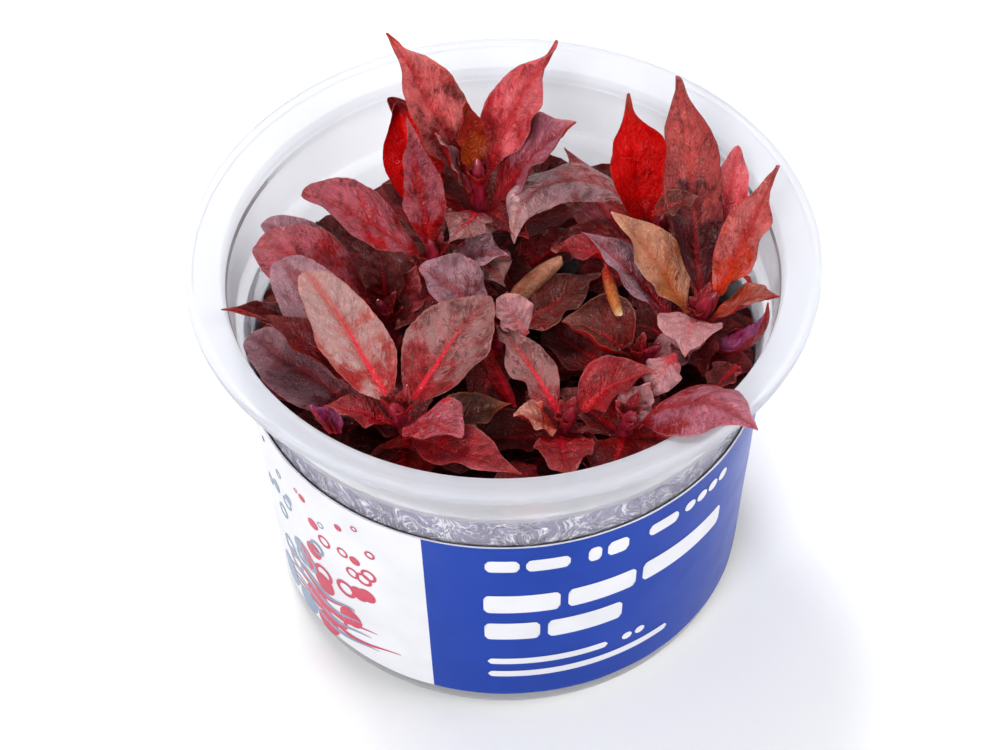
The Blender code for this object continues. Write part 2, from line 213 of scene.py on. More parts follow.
class Shader:
    """A material's nodes, added one at a time."""

    def __init__(self, name: str) -> None:
        """Start a material that has only its main surface node."""
        self.material = bpy.data.materials.new(name)
        self.material.use_nodes = True
        self.tree = self.material.node_tree
        self.surface = self.tree.nodes["Principled BSDF"]

    def feed(self, node: bpy.types.Node, socket: str | int, value: object) -> None:
        """Link a socket's value, or set it.

        Args:
            node: The node that takes the value.
            socket: Name or number of its input.
            value: Another node's output, a number, a vector or a colour.
        """
        target = node.inputs[socket]
        if isinstance(value, Socket):
            self.tree.links.new(value, target)
        elif target.type == "RGBA":
            target.default_value = (*value, 1.0)
        else:
            target.default_value = value

    def set(self, **values: object) -> None:
        """Feed the main surface node. Underscores stand for spaces in socket names."""
        for socket, value in values.items():
            self.feed(self.surface, socket.replace("_", " "), value)

    def math(self, operation: str, first: object, second: object = 0.0, third: object = 0.0) -> Socket:
        """One sum of up to three values."""
        node = self.tree.nodes.new("ShaderNodeMath")
        node.operation = operation
        for number, value in enumerate((first, second, third)):
            self.feed(node, number, value)
        return node.outputs[0]

    def rise(self, value: object, low: object, high: object, start: float = 0.0, end: float = 1.0) -> Socket:
        """A smooth change from start to end as the value goes from low to high."""
        node = self.tree.nodes.new("ShaderNodeMapRange")
        node.interpolation_type = "SMOOTHSTEP"
        for number, given in enumerate((value, low, high, start, end)):
            self.feed(node, number, given)
        return node.outputs[0]

    def mix(self, share: object, first: object, second: object) -> Socket:
        """Two colours mixed by a share."""
        node = self.tree.nodes.new("ShaderNodeMix")
        node.data_type = "RGBA"
        for number, value in ((0, share), (6, first), (7, second)):
            self.feed(node, number, value)
        return node.outputs[2]

    def place(self) -> Socket:
        """The point's own place on the piece, in metres."""
        return self.tree.nodes.new("ShaderNodeTexCoord").outputs["Object"]

    def layout(self, name: str) -> tuple[Socket, Socket]:
        """The two values of one of the mesh's layouts."""
        node = self.tree.nodes.new("ShaderNodeUVMap")
        node.uv_map = name
        split = self.tree.nodes.new("ShaderNodeSeparateXYZ")
        self.feed(split, 0, node.outputs[0])
        return split.outputs[0], split.outputs[1]

    def noise(self, size: float, detail: float = 3.0, roughness: float = 0.55, distortion: float = 0.0,
              stretch: tuple[float, float, float] | None = None) -> Socket:
        """Soft noise whose patches are about the given size in millimetres."""
        node = self.tree.nodes.new("ShaderNodeTexNoise")
        where = self.place()
        if stretch:
            mapping = self.tree.nodes.new("ShaderNodeMapping")
            self.feed(mapping, "Vector", where)
            mapping.inputs["Scale"].default_value = stretch
            where = mapping.outputs[0]
        self.feed(node, "Vector", where)
        self.feed(node, "Scale", 1.0 / (size * MM))
        self.feed(node, "Detail", detail)
        self.feed(node, "Roughness", roughness)
        self.feed(node, "Distortion", distortion)
        return node.outputs[0]

    def flow(self, vector: Socket, size: float, detail: float = 4.0, distortion: float = 0.6) -> Socket:
        """Noise drawn out along the direction in which a layout is squeezed."""
        node = self.tree.nodes.new("ShaderNodeTexNoise")
        self.feed(node, "Vector", vector)
        self.feed(node, "Scale", 1.0 / size)
        self.feed(node, "Detail", detail)
        self.feed(node, "Roughness", 0.62)
        self.feed(node, "Distortion", distortion)
        return node.outputs[0]

    def joined(self, first: Socket, second: Socket, third: Socket) -> Socket:
        """One vector from three values."""
        node = self.tree.nodes.new("ShaderNodeCombineXYZ")
        for number, value in enumerate((first, second, third)):
            self.feed(node, number, value)
        return node.outputs[0]

    def ridges(self, vector: Socket, size: float) -> Socket:
        """Distance from a wandering network of lines about the given size apart, from 0 to 1."""
        noise = self.flow(vector, size, 3.0, 1.2)
        return self.math("ABSOLUTE", self.math("MULTIPLY_ADD", noise, 4.0, -2.0))

    def bump(self, height: Socket, depth: float, normal: Socket | None = None, strength: float = 1.0) -> Socket:
        """Relief of the given depth in millimetres."""
        node = self.tree.nodes.new("ShaderNodeBump")
        self.feed(node, "Height", height)
        self.feed(node, "Distance", depth * MM)
        self.feed(node, "Strength", strength)
        if normal:
            self.feed(node, "Normal", normal)
        return node.outputs[0]


@dataclass(frozen=True)
class LeafFinish:
    """Colours and gloss of one kind of leaf. Colours are linear."""

    slot: str
    root: Colour
    blade: Colour
    # Patch colour over the blade towards the tip and margins: in most looks a pale grey painted sheen, the painted
    # reflection of soft light on the glossy blade; in a few looks darker than the blade
    sheen_and_tone: Colour
    vein: Colour
    tip: Colour
    sheen_and_tone_share: float = 0.6
    turn_from: float = 0.15
    turn_to: float = 0.55
    vein_share: float = 0.4
    side_share: float = 0.2
    tip_share: float = 0.3
    # Share of the painted shade in the creases and along the fine network, and of the darker blotches and specks
    shade_and_mottle_share: float = 0.6
    smooth: float = 0.35
    roughness: float = 0.33
    gloss: float = 0.5
    coat: float = 0.45
    glow: float = 0.15

    def colours(self, shader: Shader, along: Socket, edge: Socket, streaks: Socket, net: Socket,
                veins: Socket) -> Socket:
        """Mix the leaf's colours, darker blotches and veins, with painted sheen, painted glints and painted shade in
        the creases.

        Args:
            shader: The material under way.
            along: Share of the way from stalk to tip.
            edge: Share of the way from midrib to margin.
            streaks: Noise that runs along the side veins.
            net: Distance from the fine network between the veins.
            veins: Where the veins are.

        Returns:
            The colour at each point.
        """
        broad = shader.noise(5.0, 3.0)
        specks = shader.noise(0.3, 2.0)
        blotch = shader.noise(2.2, 2.0, 0.6, 0.4)
        drift = shader.math("MULTIPLY_ADD", broad, 1.0, -0.5)
        streaky = shader.math("MULTIPLY_ADD", streaks, 0.6, -0.3)
        reached = shader.math("ADD", shader.math("ADD", along, drift), streaky)
        colour = shader.mix(shader.rise(reached, self.turn_from, self.turn_to), self.root, self.blade)
        # Painted sheen: the patch colour spreads in broad patches towards the tip, less near the midrib
        sheen_and_tone_reach = shader.math("ADD", shader.math("MULTIPLY_ADD", along, 0.4, broad), streaky)
        sheen_and_tone_mask = shader.math("MULTIPLY", shader.rise(sheen_and_tone_reach, 0.55, 0.76, 0.0, self.sheen_and_tone_share),
                           shader.rise(edge, 0.04, 0.3, 0.25, 1.0))
        colour = shader.mix(sheen_and_tone_mask, colour, self.sheen_and_tone)
        # A deep copy of the root colour: painted shade in the creases and along the fine network between the veins, and
        # the colour of darker blotches and specks
        dark = tuple(0.14 * part for part in self.root)
        crease_shade = shader.rise(streaks, 0.32, 0.46, self.shade_and_mottle_share * 0.7, 0.0)
        mesh = shader.math("MULTIPLY", shader.rise(net, 0.03, 0.22, self.shade_and_mottle_share, 0.0),
                           shader.rise(shader.noise(3.0, 2.0), 0.42, 0.6, 0.15, 1.0))
        colour = shader.mix(shader.rise(blotch, 0.53, 0.7, 0.0, self.shade_and_mottle_share * 0.75), colour, dark)
        colour = shader.mix(shader.math("MAXIMUM", crease_shade, mesh), colour, dark)
        colour = shader.mix(shader.rise(specks, 0.6, 0.75, 0.0, 0.5), colour, dark)
        # Painted highlights: pale glints, lighter than the sheen, on the streak ridges where the specks are low
        pale = tuple(min(1.0, 0.8 * part + 0.14) for part in self.sheen_and_tone)
        painted_glint_mask = shader.math("MULTIPLY", shader.rise(specks, 0.36, 0.28), shader.rise(streaks, 0.5, 0.62))
        colour = shader.mix(shader.math("MULTIPLY", painted_glint_mask, 0.6), colour, pale)
        rim = shader.rise(edge, 0.93, 1.0, 0.0, 0.6)
        colour = shader.mix(rim, colour, self.tip)
        end = shader.rise(shader.math("MULTIPLY_ADD", drift, 0.4, along), 0.8, 0.98, 0.0, self.tip_share)
        colour = shader.mix(end, colour, self.tip)
        return shader.mix(veins, colour, self.vein)

    def veins(self, shader: Shader, along: Socket, edge: Socket, off: Socket) -> tuple[Socket, Socket]:
        """Where the midrib and the side veins run.

        Args:
            shader: The material under way.
            along: Share of the way from stalk to tip.
            edge: Share of the way from midrib to margin.
            off: Distance from the midrib in millimetres.

        Returns:
            The midrib and the side veins, each from 0 to 1.
        """
        left = shader.math("SUBTRACT", 1.0, along)
        width = shader.math("MULTIPLY_ADD", shader.math("POWER", left, 1.6), 0.95, 0.06)
        middle = shader.rise(off, shader.math("MULTIPLY", width, 0.3), width, 1.0, 0.0)
        middle = shader.math("MULTIPLY", middle, shader.rise(along, 0.35, 0.95, 1.0, 0.35))
        wander = shader.math("MULTIPLY_ADD", shader.noise(4.0, 3.0), 1.6, -0.8)
        lean = shader.math("MULTIPLY", shader.math("POWER", edge, 1.3), -LEAF_VEIN_LEAN)
        count = shader.math("MULTIPLY", shader.math("ADD", along, lean), LEAF_VEIN_PAIRS)
        phase = shader.math("FRACT", shader.math("ADD", count, wander))
        line = shader.rise(shader.math("ABSOLUTE", shader.math("SUBTRACT", phase, 0.5)), 0.0, 0.13, 1.0, 0.0)
        fade = shader.math("MULTIPLY", shader.rise(edge, 0.25, 0.9, 1.0, 0.0), shader.rise(along, 0.6, 0.9, 1.0, 0.0))
        return middle, shader.math("MULTIPLY", line, fade)

    def make(self, name: str) -> bpy.types.Material:
        """Build the material under a name."""
        shader = Shader(name)
        across, along = shader.layout("share")
        span, reach = shader.layout("span")
        edge = shader.math("ABSOLUTE", shader.math("MULTIPLY_ADD", across, 2.0, -1.0))
        off = shader.math("ABSOLUTE", shader.math("MULTIPLY", span, 1.0 / SPAN_SCALE))
        down = shader.math("MULTIPLY", reach, 1.0 / SPAN_SCALE)
        slant = shader.math("MULTIPLY_ADD", off, -0.8, down)
        split = shader.tree.nodes.new("ShaderNodeSeparateXYZ")
        shader.feed(split, 0, shader.place())
        shift = shader.math("MULTIPLY", split.outputs[0], 120.0)
        lay = shader.joined(shader.math("MULTIPLY", span, 1.3 / SPAN_SCALE), slant, shift)
        rumple = shader.rise(shader.noise(3.4, 2.0), 0.42, 0.6, self.smooth, 1.0)
        streaks = shader.flow(lay, 1.3, 4.0, 1.2)
        streaks = shader.math("MULTIPLY_ADD", shader.math("SUBTRACT", streaks, 0.5), rumple, 0.5)
        crinkle = shader.flow(lay, 0.45, 2.0, 0.4)
        net = shader.ridges(lay, 1.9)
        middle, side = self.veins(shader, along, edge, off)
        veins = shader.math("MAXIMUM", shader.math("MULTIPLY", middle, self.vein_share),
                            shader.math("MULTIPLY", side, self.side_share))
        shader.set(Base_Color=self.colours(shader, along, edge, streaks, net, veins))
        shader.set(Roughness=shader.math("MULTIPLY_ADD", crinkle, 0.4, self.roughness - 0.22))
        relief = shader.math("MULTIPLY_ADD", side, -0.3, shader.math("MULTIPLY", streaks, 1.2))
        relief = shader.math("MULTIPLY_ADD", crinkle, 0.13, relief)
        relief = shader.math("MULTIPLY_ADD", shader.rise(net, 0.0, 0.6), 0.3, relief)
        normal = shader.bump(relief, 0.38)
        shader.set(Normal=normal, Coat_Normal=normal)
        wet = shader.rise(shader.noise(2.6, 3.0, 0.6, 0.5), 0.42, 0.6, self.coat * 0.15, self.coat)
        shader.set(Coat_Weight=wet)
        shader.set(Coat_Roughness=0.09, Specular_Tint=(1.0, 0.35, 0.35), Specular_IOR_Level=self.gloss, Subsurface_Weight=self.glow,
                   Subsurface_Radius=(1.0, 0.2, 0.15), Subsurface_Scale=0.0009)
        return shader.material


LEAF_VEIN_PAIRS = 7.0
LEAF_VEIN_LEAN = 0.22

PINK = (0.60, 0.006, 0.022)
CRIMSON = (0.42, 0.002, 0.006)


class Leafage(Enum):
    """The kinds of leaf in the tuft."""

    GREY = LeafFinish("leaf_mauve", (0.3, 0.006, 0.008), (0.34, 0.06, 0.048), (0.4, 0.25, 0.235), PINK,
                      (0.46, 0.13, 0.11), vein_share=0.85, side_share=0.3, turn_from=0.1, turn_to=0.35,
                      sheen_and_tone_share=0.9, shade_and_mottle_share=0.3, smooth=0.15)
    SMOKE = LeafFinish("leaf_mauve", (0.24, 0.003, 0.005), (0.2, 0.04, 0.036), (0.29, 0.145, 0.14), PINK,
                       (0.34, 0.10, 0.09), vein_share=0.85, side_share=0.35, turn_from=0.2, turn_to=0.6,
                       sheen_and_tone_share=0.78, shade_and_mottle_share=0.8)
    MAUVE = LeafFinish("leaf_mauve", (0.2, 0.006, 0.01), (0.19, 0.034, 0.042), (0.31, 0.17, 0.205), PINK,
                       (0.34, 0.14, 0.18), vein_share=0.35, side_share=0.15, sheen_and_tone_share=0.85)
    BLUSH = LeafFinish("leaf_mauve", (0.36, 0.002, 0.004), (0.34, 0.03, 0.04), (0.4, 0.09, 0.12), CRIMSON,
                       (0.30, 0.07, 0.07), turn_from=0.3, turn_to=0.8, vein_share=0.5, side_share=0.3,
                       sheen_and_tone_share=0.85, shade_and_mottle_share=0.75)
    ROSE = LeafFinish("leaf_mauve", (0.34, 0.004, 0.008), (0.58, 0.036, 0.045), (0.72, 0.16, 0.18), CRIMSON,
                      (0.40, 0.10, 0.12), turn_from=0.1, turn_to=0.5, vein_share=0.5, side_share=0.25,
                      shade_and_mottle_share=0.5)
    # The very dark root colour reaches far up the blade: painted shade over the lower middle of the leaf
    SALMON = LeafFinish("leaf_red", (0.13, 0.001, 0.001), (0.58, 0.034, 0.036), (0.7, 0.16, 0.16), CRIMSON,
                        (0.34, 0.055, 0.015), turn_from=0.35, turn_to=0.75, vein_share=0.4, side_share=0.2,
                        tip_share=0.7, shade_and_mottle_share=0.5, gloss=0.45, glow=0.25)
    FLAME = LeafFinish("leaf_red", (0.62, 0.04, 0.006), (0.44, 0.03, 0.028), (0.64, 0.17, 0.16), CRIMSON,
                       (0.30, 0.08, 0.07), vein_share=0.4, side_share=0.2, shade_and_mottle_share=0.6, gloss=0.45,
                       glow=0.2, sheen_and_tone_share=0.75)
    SCARLET = LeafFinish("leaf_red", (0.55, 0.001, 0.001), (0.74, 0.001, 0.001), (0.62, 0.006, 0.005),
                         CRIMSON, (0.26, 0.05, 0.03), sheen_and_tone_share=0.4, vein_share=0.3, side_share=0.1,
                         tip_share=0.85, shade_and_mottle_share=0.4, gloss=0.3, coat=0.3, glow=0.2)
    CHERRY = LeafFinish("leaf_dark", (0.6, 0.001, 0.002), (0.8, 0.002, 0.003), (0.42, 0.001, 0.003), CRIMSON,
                        (0.08, 0.001, 0.004), sheen_and_tone_share=0.4, vein_share=0.2, side_share=0.0, tip_share=0.9,
                        shade_and_mottle_share=0.1, roughness=0.24, gloss=0.3, coat=0.9, glow=0.3)
    WINE = LeafFinish("leaf_red", (0.36, 0.002, 0.005), (0.2, 0.006, 0.009), (0.34, 0.035, 0.045), PINK,
                      (0.40, 0.09, 0.08), vein_share=0.55, side_share=0.3, turn_from=0.25, turn_to=0.6,
                      sheen_and_tone_share=0.45, shade_and_mottle_share=0.8)
    DARK = LeafFinish("leaf_dark", (0.14, 0.001, 0.002), (0.055, 0.003, 0.004), (0.16, 0.03, 0.03), CRIMSON,
                      (0.24, 0.05, 0.03), sheen_and_tone_share=0.55, vein_share=0.6, side_share=0.25, coat=0.3,
                      gloss=0.3)
    DUSK = LeafFinish("leaf_dark", (0.040, 0.002, 0.004), (0.5, 0.07, 0.06), (0.19, 0.035, 0.045), CRIMSON,
                      (0.10, 0.02, 0.02), turn_from=0.3, turn_to=0.62, vein_share=0.3, side_share=0.1,
                      gloss=0.25, sheen_and_tone_share=0.3)
    ORANGE = LeafFinish("leaf_olive", (0.4, 0.035, 0.008), (0.32, 0.05, 0.034), (0.42, 0.14, 0.11), CRIMSON,
                        (0.20, 0.04, 0.03), turn_from=0.2, turn_to=0.5, vein_share=0.35, side_share=0.2,
                        gloss=0.4, glow=0.2)
    AMBER = LeafFinish("leaf_olive", (0.4, 0.05, 0.003), (0.3, 0.012, 0.005), (0.3, 0.03, 0.02), CRIMSON,
                       (0.16, 0.02, 0.015), turn_from=0.3, turn_to=0.65, vein_share=0.3, side_share=0.15,
                       gloss=0.4, glow=0.2, sheen_and_tone_share=0.3)
    STUB = LeafFinish("leaf_olive", (0.42, 0.012, 0.006), (0.62, 0.16, 0.03), (0.66, 0.30, 0.12), CRIMSON,
                      (0.85, 0.62, 0.36), turn_from=0.1, turn_to=0.5, vein_share=0.0, side_share=0.0,
                      tip_share=0.9, shade_and_mottle_share=0.2, gloss=0.4)
    LILAC = LeafFinish("leaf_mauve", (0.26, 0.006, 0.01), (0.26, 0.02, 0.03), (0.4, 0.12, 0.17), CRIMSON,
                       (0.50, 0.16, 0.17), turn_from=0.25, turn_to=0.7, vein_share=0.4, side_share=0.3,
                       sheen_and_tone_share=0.9, shade_and_mottle_share=0.5)
    RUSSET = LeafFinish("leaf_olive", (0.50, 0.025, 0.010), (0.42, 0.090, 0.060), (0.55, 0.26, 0.20), CRIMSON,
                        (0.55, 0.22, 0.16), vein_share=0.4, side_share=0.2)
    TAN = LeafFinish("leaf_olive", (0.42, 0.12, 0.03), (0.38, 0.13, 0.065), (0.52, 0.25, 0.15), CRIMSON,
                     (0.55, 0.32, 0.22), vein_share=0.25, side_share=0.15, sheen_and_tone_share=0.6, shade_and_mottle_share=0.4)
    OLIVE = LeafFinish("leaf_olive", (0.10, 0.006, 0.003), (0.055, 0.010, 0.004), (0.16, 0.06, 0.035), CRIMSON,
                       (0.50, 0.14, 0.04), vein_share=0.3, side_share=0.2, coat=0.7)
    BROWN = LeafFinish("leaf_olive", (0.16, 0.003, 0.002), (0.075, 0.009, 0.004), (0.15, 0.045, 0.035),
                       CRIMSON, (0.42, 0.15, 0.10), vein_share=0.5, side_share=0.25, sheen_and_tone_share=0.3)
    SILVER = LeafFinish("leaf_mauve", (0.24, 0.010, 0.010), (0.24, 0.06, 0.06), (0.42, 0.25, 0.27), CRIMSON,
                        (0.40, 0.12, 0.08), vein_share=0.4, side_share=0.2, sheen_and_tone_share=0.8, coat=0.8)
    PALE = LeafFinish("leaf_mauve", (0.38, 0.03, 0.04), (0.42, 0.165, 0.175), (0.46, 0.23, 0.25), PINK,
                      (0.58, 0.20, 0.17), vein_share=0.3, side_share=0.12, turn_from=0.05, turn_to=0.3,
                      shade_and_mottle_share=0.3)
    MAGENTA = LeafFinish("leaf_mauve", (0.28, 0.004, 0.05), (0.5, 0.035, 0.22), (0.56, 0.20, 0.40), PINK,
                         (0.18, 0.01, 0.08), vein_share=0.3, side_share=0.1, shade_and_mottle_share=0.4)
    SHADOW = LeafFinish("leaf_dark", (0.035, 0.0005, 0.0005), (0.011, 0.0005, 0.0005),
                        (0.022, 0.0015, 0.0015), CRIMSON, (0.09, 0.010, 0.006), sheen_and_tone_share=0.4,
                        vein_share=0.3, side_share=0.1, gloss=0.15, coat=0.1)
    # Deep crimson leaf, darkened as painted shade for the leaves low and deep in the tuft; the young leaves and a few
    # sprigs wear it too
    EMBER = LeafFinish("leaf_red", (0.2, 0.001, 0.0015), (0.06, 0.001, 0.0015), (0.14, 0.008, 0.011), CRIMSON,
                       (0.20, 0.030, 0.016), sheen_and_tone_share=0.5, vein_share=0.6, side_share=0.25, gloss=0.4,
                       coat=0.4)
    UNDER = LeafFinish("leaf_red", (0.4, 0.002, 0.003), (0.34, 0.004, 0.006), (0.36, 0.02, 0.025), PINK,
                       (0.36, 0.06, 0.04), vein_share=0.7, side_share=0.3, roughness=0.42, gloss=0.25,
                       coat=0.15, glow=0.25, shade_and_mottle_share=0.8)

    def material(self) -> bpy.types.Material:
        """The finish's material, made on first use."""
        name = f"blade_{self.name.lower()}"
        return bpy.data.materials.get(name) or self.value.make(name)


@dataclass(frozen=True)
class StemFinish:
    """Glossy crimson stem with darker patches."""

    name: str = "stem_crimson"

    def make(self) -> bpy.types.Material:
        """Build the material."""
        shader = Shader(self.name)
        streaks = shader.noise(0.8, 4.0, 0.6, stretch=(1.0, 1.0, 0.15))
        patches = shader.noise(5.0, 2.0)
        colour = shader.mix(shader.rise(streaks, 0.35, 0.7), (0.16, 0.004, 0.012), (0.42, 0.02, 0.05))
        colour = shader.mix(shader.rise(patches, 0.45, 0.7, 0.0, 0.6), colour, (0.10, 0.004, 0.02))
        shader.set(Base_Color=colour)
        shader.set(Roughness=shader.rise(streaks, 0.2, 0.8, 0.22, 0.42))
        shader.set(Normal=shader.bump(streaks, 0.12, strength=0.7))
        shader.set(Coat_Weight=0.5, Coat_Roughness=0.12, Subsurface_Weight=0.2,
                   Subsurface_Radius=(1.0, 0.2, 0.2), Subsurface_Scale=0.001)
        return shader.material


@dataclass(frozen=True)
class PlasticFinish:
    """Milky pressed plastic that lets light and blurred shapes through."""

    name: str = "cup_plastic_milky"
    tint: Colour = (0.925, 0.935, 0.975)
    clear: float = 0.7
    roughness: float = 0.3

    def make(self) -> bpy.types.Material:
        """Build the material."""
        shader = Shader(self.name)
        haze = shader.noise(9.0, 3.0)
        grain = shader.noise(0.4, 2.0)
        scuffs = shader.noise(2.2, 5.0, 0.7, 1.2, (1.0, 1.0, 6.0))
        deep = (0.945, 0.953, 0.985)
        colour = shader.mix(shader.rise(haze, 0.3, 0.7), self.tint, deep)
        split = shader.tree.nodes.new("ShaderNodeSeparateXYZ")
        shader.feed(split, 0, shader.place())
        height = split.outputs[2]
        # Painted reflection and shade on the clear band between the collar and the label, on the front half only: a
        # darker lilac wash crossed by white fold lines
        clear_band = shader.math("MULTIPLY", shader.rise(height, 0.0452, 0.0462), shader.rise(height, 0.0532, 0.0522))
        clear_band = shader.math("MULTIPLY", clear_band, shader.rise(split.outputs[1], 0.010, -0.012))
        film = shader.noise(7.0, 4.0, 0.6, 3.5)
        fold_glint_lines = shader.rise(shader.math("ABSOLUTE", shader.math("SUBTRACT", film, 0.5)), 0.0, 0.035, 1.0, 0.0)
        band_reflection_colour = shader.mix(fold_glint_lines, (0.74, 0.71, 0.93), (1.0, 1.0, 1.0))
        colour = shader.mix(shader.math("MULTIPLY", clear_band, 0.85), colour, band_reflection_colour)
        east, north = split.outputs[0], split.outputs[1]
        radius = shader.math("SQRT", shader.math("ADD", shader.math("MULTIPLY", east, east),
                                                 shader.math("MULTIPLY", north, north)))
        # Painted shade: the flange's top is tinted darker than the rest of the plastic, so it reads as a grey ring
        # against the bright floor
        flange = shader.math("MULTIPLY", shader.rise(radius, 0.0428, 0.0440), shader.rise(height, 0.060, 0.064))
        colour = shader.mix(flange, colour, (0.80, 0.81, 0.855))
        shader.set(Base_Color=colour)
        rough = shader.math("MULTIPLY_ADD", shader.rise(scuffs, 0.6, 0.8), 0.08, self.roughness)
        shader.set(Roughness=rough)
        relief = shader.bump(haze, 0.2, strength=0.3)
        relief = shader.bump(shader.math("MULTIPLY", film, clear_band), 2.0, relief)
        shader.set(Normal=shader.bump(grain, 0.01, relief, 0.3))
        # The white fold lines are also made less clear, so the painted reflections stay bright
        milky = shader.math("MULTIPLY", shader.math("MULTIPLY", fold_glint_lines, clear_band), -0.45)
        shader.set(Transmission_Weight=shader.math("ADD", milky, self.clear), IOR=1.12, Specular_IOR_Level=0.5)
        return shader.material


@dataclass(frozen=True)
class PaperFinish:
    """Coated label paper in one ink, with a faint speckle."""

    name: str
    ink: Colour
    speck: Colour
    speck_share: float = 0.35
    roughness: float = 0.38

    def make(self) -> bpy.types.Material:
        """Build the material."""
        shader = Shader(self.name)
        specks = shader.noise(0.28, 2.0, 0.5)
        drift = shader.noise(14.0, 2.0)
        colour = shader.mix(shader.rise(specks, 0.58, 0.74, 0.0, self.speck_share), self.ink, self.speck)
        deep = tuple(0.8 * part for part in self.ink)
        colour = shader.mix(shader.rise(drift, 0.35, 0.7, 0.0, 0.5), colour, deep)
        shader.set(Base_Color=colour)
        shader.set(Roughness=shader.rise(drift, 0.3, 0.7, self.roughness, self.roughness + 0.1))
        shader.set(Normal=shader.bump(shader.noise(0.6, 3.0), 0.02, strength=0.5))
        shader.set(Specular_IOR_Level=0.08, Coat_Weight=0.3, Coat_IOR=1.33, Coat_Roughness=0.16)
        return shader.material


@dataclass(frozen=True)
class GelFinish:
    """Clear grey-green growing gel."""

    name: str = "gel_clear"

    def make(self) -> bpy.types.Material:
        """Build the material."""
        shader = Shader(self.name)
        clouds = shader.noise(5.0, 3.0)
        shader.set(Base_Color=shader.mix(shader.rise(clouds, 0.3, 0.7), (0.72, 0.78, 0.74), (0.60, 0.66, 0.60)))
        shader.set(Roughness=shader.rise(clouds, 0.3, 0.7, 0.08, 0.2))
        shader.set(Normal=shader.bump(clouds, 0.5, strength=0.5))
        shader.set(Transmission_Weight=0.7, IOR=1.34)
        return shader.material


@dataclass(frozen=True)
class FloorFinish:
    """Plain pale floor."""

    name: str = "floor_pale"

    def make(self) -> bpy.types.Material:
        """Build the material."""
        shader = Shader(self.name)
        shader.set(Base_Color=shader.mix(shader.noise(300.0, 2.0), (0.87, 0.87, 0.875), (0.85, 0.85, 0.855)))
        shader.set(Roughness=0.7)
        return shader.material


def turned(profile: list[tuple[float, float]], sides: int) -> Draft:
    """Turn a profile about the upright axis.

    Args:
        profile: Radius and height of each point, from the axis up the inside and down the outside.
        sides: Steps round the axis.

    Returns:
        A closed draft, where the two ends of the profile lie on the axis.
    """
    draft = Draft()
    ring = np.array(profile[1:-1])
    angle = np.linspace(0.0, 2 * math.pi, sides, endpoint=False)
    rows = len(ring)
    points = np.empty((rows, sides, 3))
    points[..., 0] = ring[:, 0, None] * np.cos(angle)
    points[..., 1] = ring[:, 0, None] * np.sin(angle)
    points[..., 2] = ring[:, 1, None]
    along = np.concatenate([[0.0], np.cumsum(np.linalg.norm(np.diff(ring, axis=0), axis=1))])
    across, down = np.meshgrid(angle / (2 * math.pi), along / along[-1])
    span = np.stack([across * 2 * math.pi * ring[:, 0, None], np.broadcast_to(along[:, None], across.shape)], -1)
    first = draft.add(points, np.stack([across, down], -1), span)
    draft.cover(grid_faces(rows, sides, closed=True)[:, ::-1] + first)
    centres = np.array([[0.0, 0.0, profile[0][1]], [0.0, 0.0, profile[-1][1]]])
    middle = draft.add(centres, np.array([[0.5, 0.0], [0.5, 1.0]]), np.zeros((2, 2)))
    low = np.arange(sides) + first
    after = np.roll(low, -1)
    high = low + (rows - 1) * sides
    high_after = np.roll(high, -1)
    draft.cover(np.stack([np.full(sides, middle), after, low][::-1], -1)[:, ::-1])
    draft.cover(np.stack([np.full(sides, middle + 1), high, high_after][::-1], -1)[:, ::-1])
    return draft


def softened(corners: list[tuple[float, float]], cut: float, steps: int = 4) -> list[tuple[float, float]]:
    """Round the corners of a profile.

    Args:
        corners: The profile's points.
        cut: How far from a corner its rounding starts, at most.
        steps: Points in each rounding.

    Returns:
        The profile with each inner corner drawn as a short arc.
    """
    points = [corners[0]]
    for before, corner, after in zip(corners, corners[1:], corners[2:]):
        here = Vector(corner)
        to_before = Vector(before) - here
        to_after = Vector(after) - here
        start = here + to_before.normalized() * min(cut, to_before.length * 0.42)
        end = here + to_after.normalized() * min(cut, to_after.length * 0.42)
        for i in range(steps + 1):
            share = i / steps
            point = start * (1 - share) ** 2 + here * (2 * share * (1 - share)) + end * share ** 2
            points.append((point.x, point.y))
    points.append(corners[-1])
    return points


